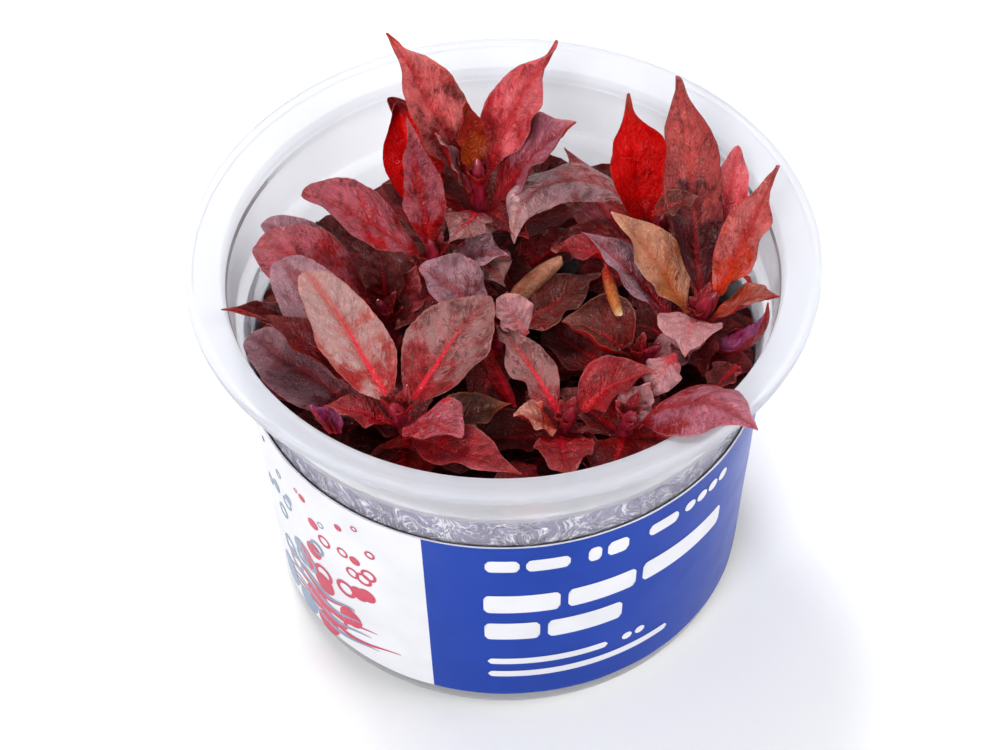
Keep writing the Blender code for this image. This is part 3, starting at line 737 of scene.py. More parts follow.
@dataclass
class Cup:
    """The pressed cup: flat foot, tapering wall, collar and wide snap rim."""

    rim_radius: float = 50.0
    height: float = 68.0
    lip_drop: float = 1.8
    crease_radius: float = 44.5
    crease_drop: float = 2.0
    collar_radius: float = 43.6
    collar_depth: float = 14.0
    wall_top_radius: float = 41.9
    wall_top_drop: float = 15.5
    foot_radius: float = 38.6
    foot_round: float = 1.6
    wall: float = 1.0
    sides: int = 220
    finish: PlasticFinish = PlasticFinish()

    def wall_radius(self, height: float | np.ndarray) -> float | np.ndarray:
        """Outer radius of the tapering wall at a height."""
        top = self.height - self.wall_top_drop
        share = (height - self.foot_round) / (top - self.foot_round)
        return self.foot_radius + (self.wall_top_radius - self.foot_radius) * share

    def inner_radius(self, height: np.ndarray) -> np.ndarray:
        """Inner radius at any height, the collar and rim included."""
        collar = self.height - self.collar_depth
        wall = self.wall_radius(height) - self.wall
        return np.where(height > collar, self.collar_radius - self.wall, wall)

    def flange_top(self, radius: np.ndarray) -> np.ndarray:
        """Height of the flange's top face, and of the collar's inside below it, at a radius."""
        crease = self.height - self.crease_drop
        return np.interp(radius, [self.collar_radius - self.wall, self.crease_radius - 0.5, self.crease_radius,
                                  self.rim_radius - 1.5, self.rim_radius],
                         [crease - 8.0, crease - 1.2, crease, self.height - 0.1, self.height])

    def profile(self) -> list[tuple[float, float]]:
        """The cup's section, from the axis up the inside and down the outside."""
        collar = self.height - self.collar_depth
        wall_top = self.height - self.wall_top_drop
        crease = self.height - self.crease_drop
        inner_foot = self.foot_radius - self.wall
        return [
            (0.0, self.wall),
            (inner_foot - self.foot_round, self.wall),
            (inner_foot, self.wall + self.foot_round),
            (self.wall_top_radius - self.wall, wall_top),
            (self.collar_radius - self.wall, collar),
            (self.crease_radius - 0.5, crease - 1.2),
            (self.crease_radius, crease),
            (self.rim_radius - 1.5, self.height - 0.1),
            (self.rim_radius - 0.7, self.height),
            (self.rim_radius, self.height - 0.6),
            (self.rim_radius, self.height - self.lip_drop),
            (self.rim_radius - self.wall, self.height - self.lip_drop),
            (self.rim_radius - self.wall - 0.4, self.height - 1.2),
            (self.collar_radius + 0.9, crease - 1.3),
            (self.collar_radius + 0.1, crease - 2.2),
            (self.collar_radius, collar),
            (self.wall_top_radius, wall_top),
            (self.foot_radius, self.foot_round),
            (self.foot_radius - 0.5, 0.5),
            (self.foot_radius - self.foot_round, 0.0),
            (0.0, 0.0),
        ]

    def build(self) -> None:
        """Turn and dress the cup."""
        draft = turned(softened(self.profile(), 0.3), self.sides)
        draft.build("cup_shell", [self.finish.make()], "cup_plastic", ("cup",))


@dataclass
class Gel:
    """The growing gel: flat, with a raised edge where it wets the wall."""

    cup: Cup
    top: float = 15.0
    creep: float = 1.6
    gap: float = 0.3
    sides: int = 160
    finish: GelFinish = GelFinish()

    def build(self) -> None:
        """Turn and dress the gel."""
        bottom = self.cup.wall + self.gap
        inner = self.cup.foot_radius - self.cup.wall - self.gap
        edge = self.cup.wall_radius(self.top + self.creep) - self.cup.wall - self.gap
        profile = [
            (0.0, bottom),
            (inner - self.cup.foot_round, bottom),
            (inner, bottom + self.cup.foot_round),
            (edge, self.top + self.creep),
            (edge - 1.4, self.top + self.creep * 0.3),
            (edge - 4.0, self.top),
            (0.0, self.top),
        ]
        draft = turned(softened(profile, 0.8)[::-1], self.sides)
        draft.build("growing_gel", [self.finish.make()], "gel", ("gel",))


@dataclass(frozen=True)
class Bar:
    """A plain printed bar: compass span and height span on the band."""

    start: float
    end: float
    low: float
    high: float


@dataclass(frozen=True)
class Dot:
    """A plain printed dot or ring."""

    azimuth: float
    height: float
    radius: float
    hole: float = 0.0


@dataclass
class Label:
    """The printed band round the wall, part white and part blue, with generic marks."""

    cup: Cup
    top: float = 46.0
    bottom: float = 4.2
    gap: float = 0.3
    thick: float = 0.3
    opening: float = 5.0
    white_from: float = 150.0
    white_to: float = 251.0
    columns: int = 355
    rows: int = 24
    ink_lift: float = 0.03
    bars: tuple[Bar, ...] = (
        Bar(264.6, 272.0, 39.6, 42.6), Bar(273.4, 283.0, 39.6, 42.6), Bar(287.0, 290.0, 39.4, 43.0),
        Bar(291.4, 296.4, 39.4, 43.0), Bar(301.5, 309.5, 39.9, 42.7),
        Bar(264.0, 281.0, 28.2, 33.0), Bar(282.8, 299.0, 28.2, 33.0), Bar(300.8, 325.5, 28.2, 33.0),
        Bar(264.0, 276.5, 20.6, 25.2), Bar(278.3, 296.0, 20.6, 25.2),
        Bar(264.4, 293.0, 13.3, 14.9), Bar(264.4, 310.0, 9.6, 11.2),
    )
    dots: tuple[Dot, ...] = (
        Dot(313.0, 41.4, 1.15), Dot(316.8, 41.4, 1.15), Dot(320.6, 41.4, 1.15), Dot(324.4, 41.4, 1.15),
        Dot(298.0, 14.1, 0.9), Dot(301.5, 14.1, 0.9),
    )

    def place(self, azimuth: np.ndarray, height: np.ndarray, lift: float | np.ndarray) -> np.ndarray:
        """Points on the band.

        Args:
            azimuth: Compass direction in degrees.
            height: Height above the foot.
            lift: How far out from the wall.

        Returns:
            The points, in the shape of the inputs.
        """
        turn = np.radians(azimuth)
        radius = self.cup.wall_radius(height) + lift
        return np.stack([radius * np.cos(turn), radius * np.sin(turn), height], -1)

    def paper(self) -> Draft:
        """The paper itself, white over one span and blue over the rest."""
        draft = Draft()
        start = 90.0 + self.opening / 2
        azimuth = np.linspace(start, start + 360.0 - self.opening, self.columns + 1)
        nearest = np.abs(azimuth - self.white_to).argmin()
        azimuth[nearest] = self.white_to
        height = np.linspace(self.top, self.bottom, self.rows + 1)
        turn, rise = np.meshgrid(azimuth, height)
        sag = 0.03 * np.sin(np.radians(turn) * 23.0 + rise * 0.35) * np.sin(np.radians(turn) * 7.0)
        outer = self.place(turn, rise, self.gap + self.thick + sag)
        inner = self.place(turn, rise, self.gap)
        share = np.stack([(turn - start) / 360.0, (rise - self.bottom) / (self.top - self.bottom)], -1)
        span = np.stack([np.radians(turn) * self.cup.foot_radius, rise], -1)
        rows, columns = turn.shape
        first = draft.add(outer, share, span)
        faces = grid_faces(rows, columns)
        middle = azimuth[faces[:, :2] % columns].mean(axis=1)
        white = (middle > self.white_from) & (middle < self.white_to)
        draft.cover(faces[~white][:, ::-1] + first, 0)
        draft.cover(faces[white][:, ::-1] + first, 1)
        back = draft.add(inner, share, span)
        draft.cover(faces + back, 1)
        numbers = np.arange(rows * columns).reshape(rows, columns)
        border = np.concatenate([numbers[0], numbers[1:, -1], numbers[-1, -2::-1], numbers[-2:0:-1, 0]])
        after = np.roll(border, -1)
        draft.cover(np.stack([border + first, after + first, after + back, border + back], -1), 1)
        return draft

    def patch(self, draft: Draft, turn: np.ndarray, rise: np.ndarray) -> None:
        """Lay one printed mark on the paper.

        Args:
            draft: The mark's mesh under way.
            turn: Compass direction of each point, in rows and columns.
            rise: Height of each point.
        """
        outer = self.place(turn, rise, self.gap + self.thick + self.ink_lift + 0.03)
        inner = self.place(turn, rise, self.gap + self.thick + self.ink_lift - 0.05)
        share = np.stack([turn / 360.0, rise / self.top], -1)
        span = np.stack([np.radians(turn) * self.cup.foot_radius, rise], -1)
        draft.sheet(outer, inner, share, span, 0, 0)

    def bar(self, draft: Draft, bar: Bar) -> None:
        """Print a bar with round ends."""
        across = np.linspace(bar.start, bar.end, max(int((bar.end - bar.start) * 1.5), 6) + 1)
        half = (bar.high - bar.low) / 2
        arc = np.radians(across - bar.start) * self.cup.foot_radius
        left = np.minimum(arc, arc[-1] - arc)
        corner = min(0.9, half)
        pinch = corner - np.sqrt(np.clip(corner ** 2 - np.clip(corner - left, 0.0, corner) ** 2, 0.0, None))
        step = np.linspace(1.0, -1.0, 5)
        rise = (bar.low + bar.high) / 2 + step[:, None] * (half - pinch)[None, :]
        self.patch(draft, np.broadcast_to(across, rise.shape), rise)

    def dot(self, draft: Draft, dot: Dot) -> None:
        """Print a dot, or a ring if it has a hole."""
        inner = max(dot.hole, 0.02)
        angle = np.linspace(2 * math.pi, 0.0, 33)
        reach = np.linspace(inner, dot.radius, 3)[:, None]
        turn = dot.azimuth + np.degrees(reach * np.cos(angle) / self.cup.wall_radius(dot.height))
        rise = dot.height + reach * np.sin(angle)
        self.patch(draft, turn, rise)

    def bubbles(self, seed: int, azimuth: tuple[float, float], count: int) -> list[Dot]:
        """A loose rising group of rings and dots.

        Args:
            seed: Number that fixes the layout.
            azimuth: Where the group starts and ends.
            count: How many marks.

        Returns:
            The marks, smaller towards the top.
        """
        chance = np.random.default_rng(seed)
        marks: list[Dot] = []
        while len(marks) < count:
            share = len(marks) / count
            radius = 2.3 * (1.0 - share) ** 0.8 + 0.35
            height = self.bottom + 5.0 + 33.0 * share + chance.uniform(-3.5, 3.5)
            turn = chance.uniform(*azimuth)
            hole = radius * 0.62 if chance.uniform() < 0.55 else 0.0
            marks.append(Dot(turn, height, radius, hole))
        return marks

    def ribbon(self, draft: Draft, start: float, height: float, length: float, swing: float) -> None:
        """Print a thin wavy line that runs along the band."""
        share = np.linspace(0.0, 1.0, 61)
        turn = start + length * share
        middle = height + swing * np.sin(share * 2.5 * math.pi)
        width = 0.45 * np.sin(math.pi * share) + 0.06
        step = np.linspace(1.0, -1.0, 3)
        rise = middle[None, :] + step[:, None] * width[None, :]
        self.patch(draft, np.broadcast_to(turn, rise.shape), rise)

    def build(self) -> None:
        """Make the paper and its printed marks."""
        blue = PaperFinish("label_blue", (0.001, 0.038, 0.33), (0.004, 0.06, 0.42))
        white = PaperFinish("label_white", (0.74, 0.74, 0.78), (0.62, 0.62, 0.68), 0.2)
        self.paper().build("label_band", [blue.make(), white.make()], "label_paper", ("label",))
        marks = Draft()
        for bar in self.bars:
            self.bar(marks, bar)
        for dot in self.dots:
            self.dot(marks, dot)
        marks.build("label_marks", [white.make()], "label_paper")
        rose = Draft()
        for dot in self.bubbles(3, (214.0, 240.0), 26):
            self.dot(rose, dot)
        for number in range(3):
            self.ribbon(rose, 205.0, 9.0 + 3.2 * number, 38.0 - 6.0 * number, 1.1)
        rose_ink = PaperFinish("print_rose", (0.55, 0.05, 0.10), (0.75, 0.30, 0.36), 0.5)
        rose.build("label_rose_motif", [rose_ink.make()], "label_paper")
        slate = Draft()
        for dot in self.bubbles(11, (200.0, 224.0), 18):
            self.dot(slate, dot)
        for number in range(4):
            self.ribbon(slate, 203.0 + 2.0 * number, 7.4 + 2.9 * number, 34.0 - 4.0 * number, 0.9)
        slate_ink = PaperFinish("print_slate", (0.22, 0.30, 0.42), (0.50, 0.56, 0.66), 0.5)
        slate.build("label_slate_motif", [slate_ink.make()], "label_paper")


@dataclass(frozen=True)
class Stem:
    """A stem from its foot on the gel to its crown, where the top leaves spread."""

    name: str
    foot: tuple[float, float]
    crown: tuple[float, float, float]
    radius: float
    base: float = 15.3
    lean_power: float = 1.8
    flare: float = 1.15
    taper: float = 0.3
    bud_length: float = 5.0

    def point(self, height: np.ndarray | float) -> np.ndarray:
        """Centre of the stem at a height."""
        height = np.asarray(height, float)
        share = np.clip((height - self.base) / (self.crown[2] - self.base), 0.0, None)
        lean = share ** self.lean_power
        x = self.foot[0] + (self.crown[0] - self.foot[0]) * lean
        y = self.foot[1] + (self.crown[1] - self.foot[1]) * lean
        return np.stack([x, y, height], -1)

    def root(self, height: float, azimuth: float, gap: float = 0.3) -> np.ndarray:
        """Where a leaf starts, a little off the stem."""
        turn = math.radians(azimuth)
        clear = self.radius * self.flare + gap
        return self.point(height) + np.array([math.cos(turn), math.sin(turn), 0.0]) * clear

    def build(self, finish: bpy.types.Material) -> None:
        """Make the stem with its swollen joints and pointed bud."""
        crown = self.crown[2]
        heights = np.linspace(self.base - 0.2, crown + self.bud_length, 90)
        share = np.clip((heights - self.base) / (crown - self.base), 0.0, 1.0)
        radii = self.radius * (self.flare - self.taper * share)
        joints = np.cos((heights - crown) / 9.0 * 2 * math.pi) ** 8
        radii *= 1.0 + 0.16 * joints
        bud = np.clip((heights - crown) / self.bud_length, 0.0, 1.0)
        radii = np.where(bud > 0, self.radius * 1.05 * np.sqrt(np.clip(1.0 - bud ** 1.6, 0.006, None)), radii)
        draft = Draft()
        draft.tube(self.point(heights), radii, 24, ridges=6, ridge=0.05)
        draft.build(f"stem_of_{self.name}", [finish], "stem", (f"stem_{self.name}",))


@dataclass(frozen=True)
class Leaf:
    """One leaf: where it grows, how it lies and how it is shaped and finished."""

    stem: str
    height: float
    azimuth: float
    rise: float
    bend: float
    sweep: float
    length: float
    width: float
    cup: float
    look: Leafage
    hook: float = 15.0
    ruffle: float = 0.4
    waves: float = 3.0
    drip: float = 0.25
    twist: float = 0.0
    peak: float = 0.42
    base: float = 1.15
    end: float = 1.2
    under: Leafage = Leafage.UNDER

    def half_width(self, share: np.ndarray) -> np.ndarray:
        """Half the blade's width: a short stalk, a broad part and a blunt or drawn-out end."""
        blade = np.clip((share - 0.06) / 0.94, 0.0, 1.0)
        widen = np.sin(math.pi / 2 * np.clip(blade / self.peak, 0.0, 1.0)) ** self.base
        narrow = np.cos(math.pi / 2 * np.clip((blade - self.peak) / (1.0 - self.peak), 0.0, 1.0)).clip(0.0) ** self.end
        swell = widen * narrow
        drawn = smooth_step(blade, 0.68, 0.9) * self.drip
        swell = swell * (1.0 - drawn) + 0.35 * (1.0 - blade) * drawn
        return LEAF_STALK / 2 * (1.0 - share) + self.width / 2 * swell + 0.03

    def midrib(self, root: np.ndarray, share: np.ndarray) -> tuple[np.ndarray, np.ndarray, np.ndarray]:
        """The centre line and the directions along it.

        Args:
            root: Where the leaf starts.
            share: Shares of the length to read.

        Returns:
            Points, and the directions ahead and to the side.
        """
        fine = np.linspace(0.0, 1.0, 241)
        bearing = np.radians(self.azimuth + self.sweep * fine)
        curl = self.hook * np.clip((fine - 0.8) / 0.2, 0.0, 1.0) ** 2
        rise = np.radians(self.rise - self.bend * fine - curl)
        ahead = np.stack([np.cos(rise) * np.cos(bearing), np.cos(rise) * np.sin(bearing), np.sin(rise)], -1)
        steps = (ahead[1:] + ahead[:-1]) / 2 * self.length / (len(fine) - 1)
        path = root + np.concatenate([np.zeros((1, 3)), np.cumsum(steps, axis=0)])
        side = np.stack([-np.sin(bearing), np.cos(bearing), np.zeros_like(bearing)], -1)

        def read(values: np.ndarray) -> np.ndarray:
            """Values at the wanted shares."""
            return np.stack([np.interp(share, fine, values[:, axis]) for axis in range(3)], -1)

        return read(path), read(ahead), read(side)

    def grow(self, draft: Draft, root: np.ndarray, seed: int, rows: int, columns: int,
             slots: tuple[int, int] = (0, 1)) -> None:
        """Add the leaf to a draft.

        Args:
            draft: The mesh under way.
            root: Where the leaf starts.
            seed: Number that fixes its small irregularities.
            rows: Points along it.
            columns: Points across it.
            slots: Material slots of its upper and lower face.
        """
        chance = np.random.default_rng(seed)
        phase = chance.uniform(0.0, 2 * math.pi, 10)
        share = 1.0 - (1.0 - np.linspace(0.0, 1.0, rows)) ** 1.12
        step = np.linspace(-1.0, 1.0, columns)
        across = np.sign(step) * np.abs(step) ** 1.2
        along, aside = np.meshgrid(share, across, indexing="ij")
        middle, ahead, side = self.midrib(root, share)
        above = np.cross(ahead, side)
        roll = np.radians(self.twist * share ** 1.5)[:, None]
        side, above = side * np.cos(roll) + above * np.sin(roll), above * np.cos(roll) - side * np.sin(roll)
        jag = 0.010 * np.sin(2 * math.pi * 6.0 * along + phase[0] + np.sign(aside) * 2.0)
        jag += 0.007 * np.sin(2 * math.pi * 17.0 * along + phase[1] + np.sign(aside))
        uneven = 1.0 + 0.07 * np.sin(phase[2]) * np.sign(aside) + jag
        half = self.half_width(share)[:, None] * uneven
        arc = math.radians(2.0 * self.cup) or 0.001
        tilt = arc * aside
        edge = np.abs(aside)
        off = edge * half
        body = smooth_step(along, 0.05, 0.25) * (1.0 - 0.5 * smooth_step(along, 0.85, 1.0))
        body *= max(0.1, 1.0 - abs(self.cup) / 90.0)
        wave = np.sin(2 * math.pi * self.waves * along + phase[3] + 1.4 * np.sign(aside))
        wave += 0.3 * np.sin(2 * math.pi * self.waves * 1.9 * along + phase[4] - np.sign(aside))
        lumps = np.sin(2 * math.pi * 2.1 * along + phase[5]) * np.sin(2.4 * aside + phase[6])
        vein = LEAF_VEIN_PAIRS * (along - LEAF_VEIN_LEAN * edge ** 1.3)
        pillow = 0.5 + 0.5 * np.cos(2 * math.pi * vein)
        lift = self.ruffle * edge ** 2.2 * wave * body
        lift += 0.32 * lumps * body * self.width / 10.0
        lift += LEAF_PILLOW * pillow * body * np.clip(1.3 - edge, 0.0, 1.0) * smooth_step(off, 0.0, 1.0)
        lift -= LEAF_GROOVE * np.exp(-(off / 0.9) ** 2) * body
        thick = LEAF_THICK * np.clip(1.0 - edge ** 4, 0.0, None) ** 0.5 / 2
        rib = LEAF_RIB * (1.0 - along) * np.exp(-(off / 0.55) ** 2)
        curled = side[:, None] * np.sin(tilt)[..., None] + above[:, None] * (1.0 - np.cos(tilt))[..., None]
        normal = above[:, None] * np.cos(tilt)[..., None] - side[:, None] * np.sin(tilt)[..., None]
        spine = middle[:, None] + curled * (half / arc)[..., None]
        centre = self.keep_in(spine + normal * lift[..., None])
        upper = centre + normal * thick[..., None]
        lower = centre - normal * (thick + rib)[..., None]
        layout = np.stack([(aside + 1.0) / 2, along], -1)
        span = np.stack([aside * half, along * self.length], -1)
        draft.sheet(upper, lower, layout, span, *slots)

    @staticmethod
    def keep_in(points: np.ndarray) -> np.ndarray:
        """Lay points that would pass through the cup's wall or rim against it or over it."""
        kept = points.copy()
        radius = np.hypot(kept[..., 0], kept[..., 1])
        limit = CUP.inner_radius(kept[..., 2]) - 0.45
        brim = CUP.flange_top(radius) + 0.45
        sunk = brim - kept[..., 2]
        inward = smooth_step(sunk, 0.6, 3.0)
        outside = (radius > limit) & (radius < CUP.rim_radius + 1.0)
        moved = np.where(outside, limit + (radius - limit) * (1.0 - inward), radius)
        kept[..., :2] *= (moved / np.maximum(radius, 1e-6))[..., None]
        lifted = kept[..., 2] + np.clip(sunk, 0.0, None) * (1.0 - inward)
        kept[..., 2] = np.where(outside, lifted, kept[..., 2])
        kept[..., 2] = np.minimum(kept[..., 2], TALLEST)
        return kept


TALLEST = 86.2
WALL_LEAVES = 72
LEAF_STALK = 1.2
LEAF_THICK = 0.3
LEAF_PILLOW = 0.32
LEAF_GROOVE = 0.35
LEAF_RIB = 0.35
CUP = Cup()

STEMS = (
    Stem("front_left", (-12.0, -17.0), (-16.5, -26.0, 59.0), 1.3),
    Stem("left", (-15.0, 1.0), (-19.0, -1.0, 54.0), 1.1),
    Stem("back_left", (-8.0, 10.0), (-11.0, 10.5, 55.0), 1.2),
    Stem("back", (-2.0, 17.0), (-3.5, 21.0, 62.0), 1.3),
    Stem("middle", (-2.0, -3.0), (-1.0, -2.5, 54.0), 1.1),
    Stem("front", (6.0, -16.0), (9.5, -23.5, 54.0), 1.2),
    Stem("right", (22.0, -1.0), (31.5, -3.0, 56.0), 1.4),
    Stem("back_right", (17.0, 10.0), (24.5, 12.5, 57.0), 1.2),
    Stem("front_right", (16.0, -16.0), (18.5, -29.0, 60.0), 1.3),
    Stem("inner_right", (10.0, -4.0), (21.5, -9.5, 52.0), 1.1),
)

# Each row: stem, height up it, compass direction, rise at the base, bend over the length (down is plus),
# sweep to the side, length, width, cup (edges up is plus) and look, then what sets the leaf apart
LEAVES = (
    Leaf("front_left", 59, 123, 36, 27, 0, 27, 10.5, 12, Leafage.GREY, hook=35, ruffle=0.3, drip=0.0, peak=0.34, base=0.9, end=0.5),
    Leaf("front_left", 56, 134, 28, 25, -20, 34, 12, 12, Leafage.MAUVE, hook=30, ruffle=0.2, drip=0.0, peak=0.5, end=0.5),
    Leaf("front_left", 58, 55, 30, 33, 0, 24, 14, 20, Leafage.SMOKE, hook=5, ruffle=0.5, peak=0.45, base=0.9, end=0.75),
    Leaf("front_left", 58, 315, 50, 38, 0, 14, 10, 10, Leafage.BLUSH, ruffle=0.3, peak=0.45, end=0.8),
    Leaf("front_left", 57, 182, 38, 23, 0, 11, 6, 15, Leafage.WINE),
    Leaf("front_left", 54, 300, 38, 28, 30, 26, 9, 15, Leafage.WINE, ruffle=0.6),
    Leaf("front_left", 51, 154, 20, 20, -20, 30, 13, 12, Leafage.MAUVE, ruffle=0.2, drip=0.0, peak=0.55, base=1.2, end=0.55),
    Leaf("front_left", 52, 8, 21, 8, 0, 15, 8, 15, Leafage.OLIVE, ruffle=0.5),
    Leaf("back_left", 55, 171, 47, 12, 18, 25, 13, 12, Leafage.BLUSH, ruffle=0.3, drip=0.15, peak=0.55, base=1.2, end=0.6),
    Leaf("back_left", 55, 109, 67, 0, 0, 24, 6.5, 15, Leafage.BLUSH, peak=0.36, base=1.0, end=1.2),
    Leaf("back_left", 53, 350, 55, 35, -30, 14, 9, 20, Leafage.MAUVE, ruffle=0.8, twist=25.0),
    Leaf("back", 61, 131, 54, -8, 30, 30, 12, 8, Leafage.SALMON, ruffle=0.4, drip=0.5, hook=0.0),
    Leaf("back", 61, 66, 42, -10, -45, 26.6, 10, 15, Leafage.ROSE, ruffle=0.6, drip=0.9, hook=-25.0),
    Leaf("back", 57, 14, 61, 15, -21, 22.8, 14, 15, Leafage.LILAC, ruffle=0.5, drip=0.5, peak=0.5, end=0.8, hook=10.0),
    Leaf("back", 62, 107, 66, -20, 9, 14, 5.5, 30, Leafage.AMBER, ruffle=0.5, peak=0.5, base=0.9, end=0.8),
    Leaf("back", 60, 157, 60, -11, 9, 13, 4.5, 15, Leafage.PALE, twist=40.0),
    Leaf("back", 57, 264, 62, 75, -35, 15, 8.5, -15, Leafage.SMOKE, ruffle=0.5),
    Leaf("back", 52, 131, 44, 0, 15, 26, 17, 15, Leafage.CHERRY, ruffle=0.05, drip=0.6, hook=0.0, peak=0.58, base=1.3, end=0.6),
    Leaf("left", 54, 155, 42, 40, 0, 23, 14, 15, Leafage.BLUSH, ruffle=0.3, peak=0.6, base=1.2, end=0.5, drip=0.0),
    Leaf("left", 51, 145, 44, 35, 0, 26, 9, 15, Leafage.MAUVE, ruffle=0.3, peak=0.6, base=1.2, end=0.5, drip=0.0),
    Leaf("left", 53, 91, 58, 0, 15, 11.2, 6.5, 20, Leafage.DARK, peak=0.5, end=0.6, drip=0.0),
    Leaf("left", 51, 60, 42, 0, 0, 10, 7, 20, Leafage.WINE),
    Leaf("left", 48, 196, 36, -12, 30, 37, 8, 15, Leafage.EMBER, ruffle=0.6, drip=0.3),
    Leaf("middle", 54, 164, 55, 26, 0, 15, 13, 15, Leafage.MAUVE, ruffle=0.5, peak=0.5, base=0.8, end=0.6),
    Leaf("middle", 52, 250, 58, 0, 0, 9, 6, 15, Leafage.MAUVE),
    Leaf("middle", 50, 73, 38, 20, -60, 16.5, 9.5, -88, Leafage.TAN, ruffle=0.05, under=Leafage.UNDER, peak=0.3, base=0.45, end=0.3, drip=0.0, hook=0.0),
    Leaf("middle", 50, 26, 25, 20, 10, 19, 9, 15, Leafage.BROWN, ruffle=0.6),
    Leaf("front", 53, 124, 40, 40, 0, 19, 6.8, 15, Leafage.SMOKE, ruffle=0.9),
    Leaf("front", 52, 195, 52, 20, 0, 9, 7, 15, Leafage.RUSSET, ruffle=0.6),
    Leaf("front", 54, 35, 42, 25, -45, 15, 10, 25, Leafage.WINE, ruffle=0.7),
    Leaf("front", 51, 262, 42, 25, 20, 17, 9, 15, Leafage.WINE, ruffle=0.4, drip=0.0, peak=0.5, end=0.8),
    Leaf("right", 56, 93, 40, 12, 3, 39, 11, 32, Leafage.DUSK, hook=60.0, drip=0.7, ruffle=0.4, peak=0.45, base=0.8, end=0.8),
    Leaf("right", 56, 43, 53, -7, 0, 26, 8, 20, Leafage.FLAME, ruffle=0.9, drip=0.4, hook=-20.0),
    Leaf("right", 54, 340, 54, 12, -25, 18, 7.0, 15, Leafage.ORANGE, drip=0.4),
    Leaf("right", 54, 133, 54, 22, 15, 21, 9, 15, Leafage.TAN, ruffle=0.5),
    Leaf("right", 56, 246, 50, 60, 20, 13, 10, 10, Leafage.PALE, ruffle=0.4),
    Leaf("right", 52, 65, 48, 20, 10, 29, 8.5, 20, Leafage.ROSE, ruffle=0.6, hook=-15.0, peak=0.6, base=1.2, end=0.6, drip=0.3),
    Leaf("right", 50, 322, 0, -105, 25, 22, 5.5, 30, Leafage.MAGENTA, ruffle=0.4),
    Leaf("back_right", 57, 115, 64, 0, -14, 24, 11, 25, Leafage.SCARLET, ruffle=0.2, drip=0.8, hook=0.0, peak=0.45, base=0.8, end=0.9),
    Leaf("back_right", 51, 128, 40, 8, 0, 22, 7, 15, Leafage.BLUSH),
    Leaf("back_right", 55, 19, 68, 15, -40, 13, 7, 15, Leafage.BROWN, ruffle=0.5),
    Leaf("back_right", 56, 113, 47, 72, 159, 34, 8.5, -15, Leafage.SILVER, ruffle=0.6, hook=25.0, drip=0.3, under=Leafage.FLAME, peak=0.55, end=0.9),
    Leaf("front_right", 59, 344, 64, 62, -40, 27, 12, -15, Leafage.LILAC, ruffle=0.3, hook=5.0, peak=0.5, base=0.9, end=1.1),
    Leaf("front_right", 55, 50, 60, 20, 0, 7.4, 6.5, 20, Leafage.PALE),
    Leaf("inner_right", 52, 146, 40, 45, 22, 13, 15, 40, Leafage.BROWN, ruffle=0.5),
    Leaf("inner_right", 50, 0, 30, 15, 20, 11, 8, 20, Leafage.PALE, ruffle=0.5),
)


@dataclass(frozen=True)
class Sprig:
    """A small leaf that starts at a place of its own in the tuft."""

    at: tuple[float, float, float]
    leaf: Leaf


